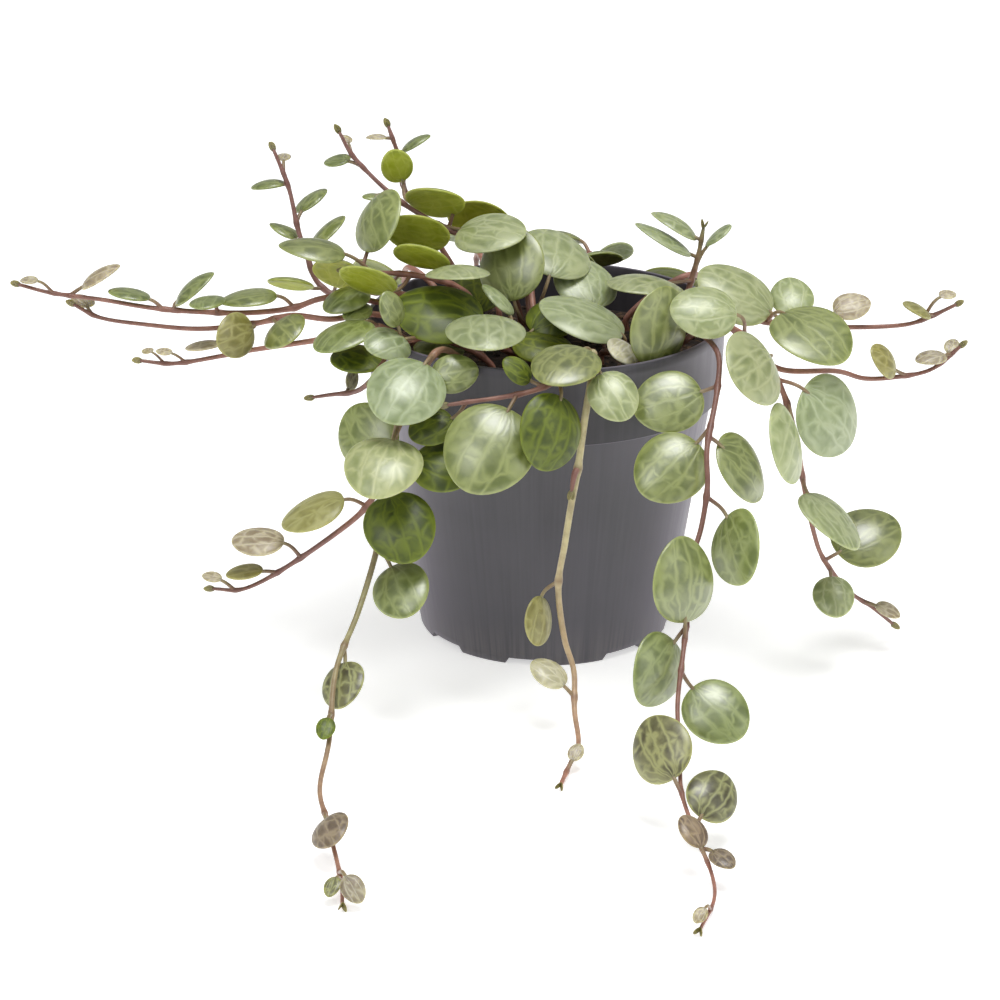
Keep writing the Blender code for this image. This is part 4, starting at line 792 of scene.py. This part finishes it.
def growStem(route, leaves, shoots, tones, stout):
    # every leaf and shoot finds its place on the stem, then the stem is drawn through them
    v = vineLook
    run, curve = smoothCurve(route, v["curveStep"])
    total = run[-1]
    stations, parts, taken = [], [], []
    for x, y, z, azimuth, elevation, width, tone in leaves:
        middle = place((x, y, z))[0]
        size = width * rimRadius / drawn["radius"]
        wanted = 0.5 * leafLength(size) + v["stalkLength"]
        at = leafStation(run, curve, middle, facing(azimuth, elevation), wanted, taken)
        taken.append(at)
        stations.append((at, middle, azimuth, elevation, size, tone))
    for shoot in shoots:
        path = place(shoot["stem"])
        at = leafStation(run, curve, path[0], facing(0, 90), v["stalkLength"], taken)
        taken.append(at)
        start = curve[int(np.argmin(np.abs(run - at)))]
        parts += growStem(np.vstack([start, path]), shoot["leaves"], [], shootStem,
                          v["shootShare"] * stout)
    ends = np.array([stemTones[tone][:3] for tone in tones])
    count = max(4, int(total / v["ringStep"]))
    at = np.unique(np.concatenate([np.linspace(0, total, count), taken]))
    at = at[np.concatenate([[True], np.diff(at) > v["ringGap"]])]
    path = np.stack([np.interp(at, run, curve[:, k]) for k in range(3)], axis=1)
    swell = np.zeros(len(at))
    for node in taken:
        swell = np.maximum(swell, np.exp(-((at - node) / v["nodeSpan"]) ** 2))
    share = at / total
    radii = v["stem"] + (v["tip"] - v["stem"]) * share ** v["taper"]
    radii = stout * radii * (1 + v["nodeSwell"] * swell)
    colours = np.stack([np.interp(share, [0, 0.5, 1], ends[:, k]) for k in range(3)], axis=1)
    nodeTone = np.array(stemTones["node"][:3])
    colours = colours + (nodeTone - colours) * v["nodeTint"] * swell[:, None]
    parts.append(roundStem(path, radii, colours))
    for where, middle, azimuth, elevation, size, tone in stations:
        start = curve[int(np.argmin(np.abs(run - where)))]
        colour = np.array([np.interp(where, at, colours[:, k]) for k in range(3)])
        parts += stalkAndLeaf(start, middle, azimuth, elevation, size, tone, colour)
    return parts + budAt(curve[-1], unit(curve[-1] - curve[-8]))


# leaves of a back vine, in the drawing's millimetres and degrees
backLook = {"root": 8, "turn": 25, "faceUp": 72, "faceDown": 44, "side": 0.56, "gap": 2.0,
            "forward": 0.7, "lift": 1.6, "clear": 1.0, "tipGap": 2, "youngWidth": 5,
            "tones": ["mid", "pale", "mid", "dark"]}


def alternateLeaves(foot, vine):
    # leaf rows by turns on the two sides of a back vine, facing up and out, smaller to the tip
    b = backLook
    rootAndStem = np.vstack([(*foot, drawn["height"] - b["root"]), vine["stem"]])
    run, curve = smoothCurve(rootAndStem, 0.25)
    rows = []
    for index in range(vine["count"]):
        share = index / (vine["count"] - 1)
        s = vine["leavesFrom"] + (vine["leavesTo"] - vine["leavesFrom"]) * share
        at = int(np.argmin(np.abs(run - min(s, run[-1] - b["tipGap"]))))
        width = vine["widths"][0] + (vine["widths"][1] - vine["widths"][0]) * share
        way = unit(curve[min(at + 8, len(curve) - 1)] - curve[at - 8])
        hand = 1 if index % 2 else -1
        azimuth = vine["face"] + hand * b["turn"]
        elevation = b["faceUp"] - b["faceDown"] * abs(way[2])
        normal = facing(azimuth, elevation)
        sideways = np.cross(way, normal)
        sideways = hand * unit(sideways - normal * np.dot(sideways, normal))
        middle = (curve[at] + unit(sideways + b["forward"] * way) * (b["side"] * width + b["gap"])
                  + normal * b["lift"])
        low = 0.5 * width * math.cos(math.radians(elevation)) + b["clear"]
        tone = "rust" if width < b["youngWidth"] else draws.choice(b["tones"])
        rows.append((*middle[:2], max(middle[2], low), azimuth, elevation, width, str(tone)))
    return rows


def buildVine(name, foot, stem, leaves, shoots):
    # the foot goes down into the soil, then everything that grows is joined into one mesh
    x, y = place((*foot, drawn["rim"]))[0][:2]
    depth = vineLook["footDepth"]
    top = soilTop(x, y)
    footPoints = [(x, y, top - depth), (x, y, top), (x, y, top + 0.8 * depth)]
    parts = growStem(np.vstack([footPoints, place(stem)]), leaves, shoots,
                     stemColours.get(name, plainStem), stoutness.get(name, 1.0))
    firsts = np.concatenate([[0], np.cumsum([len(p["points"]) for p in parts])[:-1]])
    faces = [np.vstack([p[kind] + n for p, n in zip(parts, firsts)]) for kind in ("quads", "tris")]
    slots = np.concatenate([np.full(len(p[kind]), p["slot"])
                            for kind in ("quads", "tris") for p in parts])
    whole = {key: np.vstack([p[key] for p in parts])
             for key in ("points", "leafPlace", "ground", "pale")}
    upper = np.concatenate([p["upper"] for p in parts])[:, None]
    vine = addPiece(name + "_leafy", whole["points"], faces, [leafSkin, stemSkin], slots)
    setAttribute(vine.data, "leafPlace", "FLOAT_VECTOR", whole["leafPlace"])
    setAttribute(vine.data, "groundTone", "FLOAT_COLOR", whole["ground"])
    setAttribute(vine.data, "paleTone", "FLOAT_COLOR", np.hstack([whole["pale"], upper]))
    refine(vine, vineLook["levels"])
    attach(vine, "root")
    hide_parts(name)


for name, vine in vines.items():
    buildVine(name, vine["foot"], vine["stem"], vine["leaves"], vine.get("shoots", []))
for name, vine in backVines.items():
    buildVine(name, vine["foot"], vine["stem"], alternateLeaves(vine["foot"], vine), [])
print("vines grown:", len(vines) + len(backVines))


potLook = {"sides": 192, "wall": 0.8 * mm, "band": 13 * mm, "bandTaper": 0.6 * mm,
           "bandStep": 1.4 * mm, "base": 21.5 * mm, "foot": 1.2 * mm, "footWidth": 1.2 * mm,
           "lip": 0.4 * mm, "notches": 8, "notchDegrees": 21, "notchTurn": -7.4,
           "notchSlope": 0.8, "notchHeight": 0.9, "centrePad": 6 * mm, "drainHoles": 6,
           "drainRadius": 2.5 * mm, "drainCircle": 0.62, "drillSides": 24,
           "drillFrom": -3 * mm, "drillTo": 6 * mm, "sharpOver": 38}


def wallRadius(z):
    # the wall's outside opens evenly from the base to the foot of the band
    top = rimRadius - potLook["bandTaper"] - potLook["bandStep"]
    return potLook["base"] + (top - potLook["base"]) * z / (potHeight - potLook["band"])


def potSection():
    # radius and height, from the middle of the floor up the inside, over the lip and down
    p = potLook
    lip, wall, base, foot, pad = (p[key] for key in ("lip", "wall", "base", "foot", "centrePad"))
    floorTop = foot + wall
    bandFoot = potHeight - p["band"]
    bandRadius = rimRadius - p["bandTaper"]
    ringInside = base - p["footWidth"]
    innerFloor, innerRim = wallRadius(floorTop) - wall, rimRadius - wall
    inner = [(0.3 * base, floorTop), (0.75 * base, floorTop), (innerFloor - 0.6 * mm, floorTop),
             (innerFloor - 0.1 * mm, floorTop + 0.2 * mm),
             (wallRadius(0.5 * bandFoot) - wall, 0.5 * bandFoot),
             (wallRadius(bandFoot) - wall, bandFoot), (bandRadius - wall, bandFoot + p["bandStep"]),
             (innerRim - 0.3 * mm, potHeight - 5 * mm),
             (innerRim - 0.05 * mm, potHeight - 1.2 * mm),
             (innerRim, potHeight - 0.5 * lip), (innerRim + 0.15 * lip, potHeight - 0.12 * lip),
             (innerRim + 0.4 * lip, potHeight)]
    band = [(rimRadius - 0.6 * lip, potHeight), (rimRadius - 0.2 * lip, potHeight - 0.12 * lip),
            (rimRadius, potHeight - 0.6 * lip), (rimRadius, potHeight - 1.6 * mm),
            (rimRadius - 0.12 * mm, potHeight - 1.8 * mm),
            (0.5 * (rimRadius + bandRadius), potHeight - 0.5 * p["band"]),
            (bandRadius, bandFoot + 0.5 * mm), (bandRadius, bandFoot + 0.15 * mm),
            (bandRadius - 0.15 * mm, bandFoot)]
    outer = [(wallRadius(bandFoot) + 0.25 * mm, bandFoot - 0.05 * mm),
             (wallRadius(bandFoot), bandFoot - 0.3 * mm),
             (wallRadius(0.66 * bandFoot), 0.66 * bandFoot),
             (wallRadius(0.33 * bandFoot), 0.33 * bandFoot), (wallRadius(2.2 * mm), 2.2 * mm),
             (wallRadius(1.3 * mm), 1.3 * mm), (wallRadius(0.3 * mm), 0.3 * mm),
             (base - 0.15 * mm, 0)]
    under = [(ringInside, 0), (ringInside - 0.1 * mm, foot), (0.7 * base, foot),
             (pad + 0.1 * mm, foot), (pad, 0), (0.3 * pad, 0)]
    return np.array(inner + band + outer + under)


# edge is the colour of a painted sheen, the paler violet-grey that the wall takes at grazing angles
plasticLook = {"body": tint(67, 65, 70), "streak": tint(74, 72, 78), "cloud": tint(82, 79, 88),
               "edge": tint(126, 118, 134), "dust": tint(118, 112, 112),
               "stretch": (1.0, 0.035, 1.0), "streaks": 900.0, "grain": (70.0, 4200.0),
               "cloudShare": 0.35, "grazingSheenShare": 0.75, "dustTo": 9 * mm, "dustShare": 0.35,
               "relief": 0.05 * mm}


def makePotPlastic():
    # grey plastic with upright draw marks, paler clouds, dust round the foot, and a painted sheen:
    # a paler violet-grey where the wall turns away from view
    v = plasticLook
    plastic, tree, shader = newMaterial("pot plastic", 0.44, Specular_IOR_Level=0.5)
    place = named(tree, "potPlace")["Vector"]
    stretched = wire(tree, "ShaderNodeVectorMath", [place, v["stretch"]],
                     operation="MULTIPLY").outputs[0]
    marks = wire(tree, "ShaderNodeTexNoise", {"Vector": stretched, "Scale": v["streaks"],
                                              "Detail": 5.0, "Roughness": 0.6}).outputs[0]
    dots = grainOn(tree, *v["grain"])
    streak = ramp(tree, marks, 0.32, 0.68)
    body = blendColour(tree, streak, v["body"], v["streak"])
    clouded = blendColour(tree, calc(tree, "MULTIPLY", dots[0], v["cloudShare"]), body, v["cloud"])
    objectPlace = wire(tree, "ShaderNodeTexCoord").outputs["Object"]
    height = wire(tree, "ShaderNodeSeparateXYZ", [objectPlace]).outputs[2]
    dust = calc(tree, "MULTIPLY", calc(tree, "SUBTRACT", 1.0, ramp(tree, height, 0.0, v["dustTo"])),
                calc(tree, "MULTIPLY", streak, v["dustShare"]))
    # painted sheen: the base colour turns paler violet-grey where the surface is seen at a grazing
    # angle, standing in for reflected light
    grazing = wire(tree, "ShaderNodeLayerWeight", {"Blend": 0.5}).outputs["Facing"]
    edge = calc(tree, "MULTIPLY", ramp(tree, grazing, 0.25, 0.95), v["grazingSheenShare"])
    withPaintedSheen = blendColour(tree, edge, clouded, v["edge"])
    tree.links.new(blendColour(tree, dust, withPaintedSheen, v["dust"]), shader.inputs["Base Color"])
    tree.links.new(calc(tree, "MULTIPLY_ADD", streak, 0.12, 0.36), shader.inputs["Roughness"])
    relief = calc(tree, "MULTIPLY_ADD", marks, 0.5, calc(tree, "MULTIPLY", dots[1], 0.35))
    addRelief(tree, shader, relief, 0.35, v["relief"])
    return plastic


def buildPot():
    # the section turned round Z: x = r sin a, y = -r cos a. The foot ring's lowest points are
    # lifted where the notches are
    p = potLook
    section = potSection()
    sides, rows = p["sides"], len(section)
    a = np.arange(sides) * math.tau / sides
    r = np.repeat(section[:, :1], sides, axis=1)
    z = np.repeat(section[:, 1:], sides, axis=1)
    spacing = 360 / p["notches"]
    turn = (np.degrees(a) - p["notchTurn"] + spacing / 2) % spacing - spacing / 2
    inNotch = np.clip((p["notchDegrees"] / 2 - np.abs(turn)) / p["notchSlope"] + 0.5, 0, 1)
    notchTop = p["notchHeight"] * p["foot"]
    ring = (r > p["base"] - p["footWidth"] - 0.05 * mm) & (z < notchTop)
    z = np.where(ring, np.maximum(z, notchTop * inNotch[None, :]), z)
    grid = np.stack([r * np.sin(a), -r * np.cos(a), z], axis=-1)
    points = np.vstack([grid.reshape(-1, 3), [[0, 0, section[0, 1]], [0, 0, section[-1, 1]]]])
    faces = [ringQuads(rows, sides)[:, ::-1], endCaps(rows, sides, False)]
    return addPiece("nursery_pot", points, faces, [makePotPlastic()])


def drilled(pot):
    # holes through the floor, cut with short round bars that are removed again
    p = potLook
    sides, low, high = p["drillSides"], p["drillFrom"], p["drillTo"]
    a = np.arange(sides) * math.tau / sides
    bars, quads, tris = [], [], []
    for index in range(p["drainHoles"]):
        turn = math.tau * index / p["drainHoles"]
        centre = p["drainCircle"] * p["base"] * np.array([math.cos(turn), math.sin(turn)])
        x = centre[0] + p["drainRadius"] * np.cos(a)
        y = centre[1] + p["drainRadius"] * np.sin(a)
        rings = [np.stack([x, y, np.full(sides, z)], axis=1) for z in (low, high)]
        first = index * (2 * sides + 2)
        bars.append(np.vstack(rings + [[[*centre, low], [*centre, high]]]))
        quads.append(ringQuads(2, sides) + first)
        tris.append(endCaps(2, sides, True) + first)
    cutter = addPiece("drill", np.vstack(bars), [np.vstack(quads), np.vstack(tris)], [],
                      smooth=False)
    cut = pot.modifiers.new("drain holes", "BOOLEAN")
    cut.operation = "DIFFERENCE"
    cut.solver = "EXACT"
    cut.object = cutter
    graph = bpy.context.evaluated_depsgraph_get()
    finished = bpy.data.meshes.new_from_object(pot.evaluated_get(graph))
    pot.modifiers.clear()
    pot.data = finished
    bpy.data.objects.remove(cutter)
    finished.shade_smooth()
    finished.set_sharp_from_angle(angle=math.radians(p["sharpOver"]))


def unrollWall(pot):
    # the wall's own place: a turn round the rim's circle stands for the angle, so it has no seam
    points = np.empty(len(pot.data.vertices) * 3, np.float32)
    pot.data.vertices.foreach_get("co", points)
    points = points.reshape(-1, 3)
    around = unit(points[:, :2]) * rimRadius
    setAttribute(pot.data, "potPlace", "FLOAT_VECTOR",
                 np.stack([around[:, 0], points[:, 2], around[:, 1]], axis=1))


pot = buildPot()
drilled(pot)
unrollWall(pot)
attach(pot, "root")
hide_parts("pot")
print("pot turned and drilled")


soilLook = {"sides": 144, "rings": 46, "rough": 0.42 * mm, "sink": 0.8, "lump": 5 * mm,
            "lumpSeed": 5, "edgeFade": (14, 0.25), "wallGap": 0.3 * mm, "octaves": 5,
            "waves": 5, "finer": 1.9, "lower": 0.6, "waveSum": 6}
crumbLook = {"count": 620, "size": (0.35 * mm, 1.0 * mm), "within": 0.93, "sink": 0.3 * mm,
             "sinkShare": 0.2, "sides": 6, "tilt": 0.5, "outOfRound": (0.7, 1.25), "over": 0.5 * mm}
peatLook = {"roughness": 0.92, "dark": tint(26, 18, 13), "light": tint(58, 42, 31),
            "fleck": tint(92, 70, 50), "grain": (650.0, 2400.0), "fibres": 900.0,
            "relief": 0.35 * mm}


def lumpiness(x, y, scale, seed):
    # a sum of waves in many directions, finer and lower from octave to octave
    s = soilLook
    wave = np.random.default_rng(seed)
    total = np.zeros_like(x)
    for octave in range(s["octaves"]):
        for _ in range(s["waves"]):
            turn, shift = wave.uniform(0, math.tau, 2)
            f = math.tau / scale * s["finer"] ** octave * wave.uniform(0.7, 1.3)
            along = x * math.cos(turn) + y * math.sin(turn)
            total += s["lower"] ** octave * np.sin(f * along + shift)
    return total / s["waveSum"]


def makePeat():
    # dark peat with lighter grains and a few pale fibres
    v = peatLook
    peat, tree, shader = newMaterial("peat mix", v["roughness"])
    objectPlace = wire(tree, "ShaderNodeTexCoord").outputs["Object"]
    dots = grainOn(tree, *v["grain"])
    fibres = wire(tree, "ShaderNodeTexVoronoi", {"Vector": objectPlace, "Scale": v["fibres"]})
    body = blendColour(tree, dots[0], v["dark"], v["light"])
    pale = ramp(tree, fibres.outputs["Distance"], 0.55, 0.85)
    tree.links.new(blendColour(tree, pale, body, v["fleck"]), shader.inputs["Base Color"])
    addRelief(tree, shader, dots[1], 0.9, v["relief"])
    return peat


def buildSoil():
    # a lumpy crowned top over a plain closed body: z = crown - drop r^2 + waves
    s, sides = soilLook, soilLook["sides"]
    edge = soilHigh[0]
    a = np.arange(sides) * math.tau / sides
    share = np.linspace(0.02, 1, s["rings"])
    r = np.repeat(edge * share[:, None], sides, axis=1)
    x, y = r * np.sin(a), -r * np.cos(a)
    steep, least = s["edgeFade"]
    fade = np.clip((1 - share) * steep, least, 1)[:, None]
    lumps = lumpiness(x, y, s["lump"], s["lumpSeed"])
    z = soilTop(x, y) - s["rough"] * s["sink"] + s["rough"] * lumps * fade
    z = np.minimum(z, soilHigh[2])
    bandFoot = potHeight - potLook["band"]
    gap = potLook["wall"] + s["wallGap"]
    lower = np.array([(edge, bandFoot + potLook["bandStep"]),
                      (wallRadius(bandFoot) - gap, bandFoot),
                      (wallRadius(soilLow[2]) - gap, soilLow[2])])
    q, h = lower[:, :1], np.repeat(lower[:, 1:], sides, axis=1)
    below = np.stack([q * np.sin(a), -q * np.cos(a), h], axis=-1)
    grid = np.concatenate([np.stack([x, y, z], axis=-1), below])
    rows = len(grid)
    points = np.vstack([grid.reshape(-1, 3), [[0, 0, float(z[0].mean())], [0, 0, soilLow[2]]]])
    return points, ringQuads(rows, sides)[:, ::-1], endCaps(rows, sides, False)


def crumbs():
    # each crumb is a small ball of six sides, pushed out of round and sunk into the top
    c, sides = crumbLook, crumbLook["sides"]
    count, corners = c["count"], 2 * sides + 2
    spread = np.sqrt(draws.uniform(0, c["within"], count)) * soilHigh[0]
    turn = draws.uniform(0, math.tau, count)
    size = draws.uniform(*c["size"], count) * draws.uniform(0.5, 1, count)
    x, y = spread * np.cos(turn), spread * np.sin(turn)
    z = soilTop(x, y) - c["sink"] - c["sinkShare"] * size
    a = np.arange(sides) * math.tau / sides
    tilt = np.array([-c["tilt"], c["tilt"]])
    ring = np.stack([np.outer(np.cos(tilt), np.cos(a)), np.outer(np.cos(tilt), np.sin(a)),
                     np.outer(np.sin(tilt), np.ones(sides))], axis=-1).reshape(-1, 3)
    ball = np.vstack([ring, [[0, 0, -1], [0, 0, 1]]])
    shape = ball * size[:, None, None] * draws.uniform(*c["outOfRound"], (count, corners, 3))
    points = shape + np.stack([x, y, z], axis=1)[:, None]
    points[..., 2] = np.minimum(points[..., 2], soilHigh[2] + c["over"])
    first = (np.arange(count) * corners)[:, None, None]
    quads = (ringQuads(2, sides)[None] + first).reshape(-1, 4)
    tris = (endCaps(2, sides, True)[None] + first).reshape(-1, 3)
    return points.reshape(-1, 3), quads, tris


bedPoints, bedQuads, bedCaps = buildSoil()
crumbPoints, crumbQuads, crumbCaps = crumbs()
shift = len(bedPoints)
soilFaces = [np.vstack([bedQuads, crumbQuads + shift]), np.vstack([bedCaps, crumbCaps + shift])]
soil = addPiece("potting_soil", np.vstack([bedPoints, crumbPoints]), soilFaces, [makePeat()])
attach(soil, "root")
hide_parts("soil")
print("soil filled")


# each light: place, side of the square and power
studio = {"sky": 0.33, "floor": tint(250, 250, 250), "floorGlow": 0.5, "floorReach": 6.0,
          "aimHeight": 0.03, "key": ((-0.45, -0.7, 0.85), 0.5, 2.7),
          "top": ((0.1, -0.1, 1.02), 0.46, 6.2), "fill": ((0.8, -0.5, 0.5), 0.6, 1.2)}


def makeStage():
    # one square on Z = 0 that gives off a little light, so that shadows stay faint
    paint, tree, shader = newMaterial("pale floor", 0.7, Base_Color=studio["floor"],
                                      Emission_Color=(1, 1, 1, 1),
                                      Emission_Strength=studio["floorGlow"])
    size = studio["floorReach"]
    corners = np.array([[-size, -size, 0], [size, -size, 0], [size, size, 0], [-size, size, 0]])
    floor = addPiece("studio_floor", corners, [np.array([[0, 1, 2, 3]])], [paint], smooth=False)


def softLight(name, place, size, power):
    # a square light that faces a point a little above the floor
    light = bpy.data.lights.new(name, "AREA")
    light.size = size
    light.energy = power
    lamp = bpy.data.objects.new(name, light)
    lamp.location = place
    away = np.array([0, 0, studio["aimHeight"]]) - np.array(place)
    lamp.rotation_euler = (math.atan2(math.hypot(away[0], away[1]), -away[2]), 0,
                           math.atan2(away[0], -away[1]) + math.pi)
    bpy.context.scene.collection.objects.link(lamp)


makeStage()
world = bpy.data.worlds.new("studio")
bpy.context.scene.world = world
world.use_nodes = True
world.node_tree.nodes["Background"].inputs[0].default_value = (1, 1, 1, 1)
world.node_tree.nodes["Background"].inputs[1].default_value = studio["sky"]
for name in ("key", "top", "fill"):
    softLight(name, *studio[name])
bpy.context.scene.view_settings.view_transform = "Standard"

cameraView = {"elevation": 21.5, "distance": 0.5, "aimHeight": 27.5 * mm, "lens": 105.4,
              "sensor": 36, "near": 0.01, "far": 20,
              "shiftRight": -7.76 * mm, "shiftUp": -5.69 * mm}


def addCamera():
    # straight at the front, from a little above, moved aside in its own plane
    v = cameraView
    tilt = math.radians(v["elevation"])
    back = np.array([0, -math.cos(tilt), math.sin(tilt)])
    up = np.array([0, math.sin(tilt), math.cos(tilt)])
    data = bpy.data.cameras.new("camera")
    data.lens = v["lens"]
    data.sensor_width = v["sensor"]
    data.clip_start = v["near"]
    data.clip_end = v["far"]
    camera = bpy.data.objects.new("camera", data)
    camera.location = (np.array([0, 0, v["aimHeight"]]) + back * v["distance"]
                       + np.array([1, 0, 0]) * v["shiftRight"] + up * v["shiftUp"])
    camera.rotation_euler = (math.pi / 2 - tilt, 0, 0)
    bpy.context.scene.collection.objects.link(camera)
    bpy.context.scene.camera = camera


addCamera()
print("stage set")
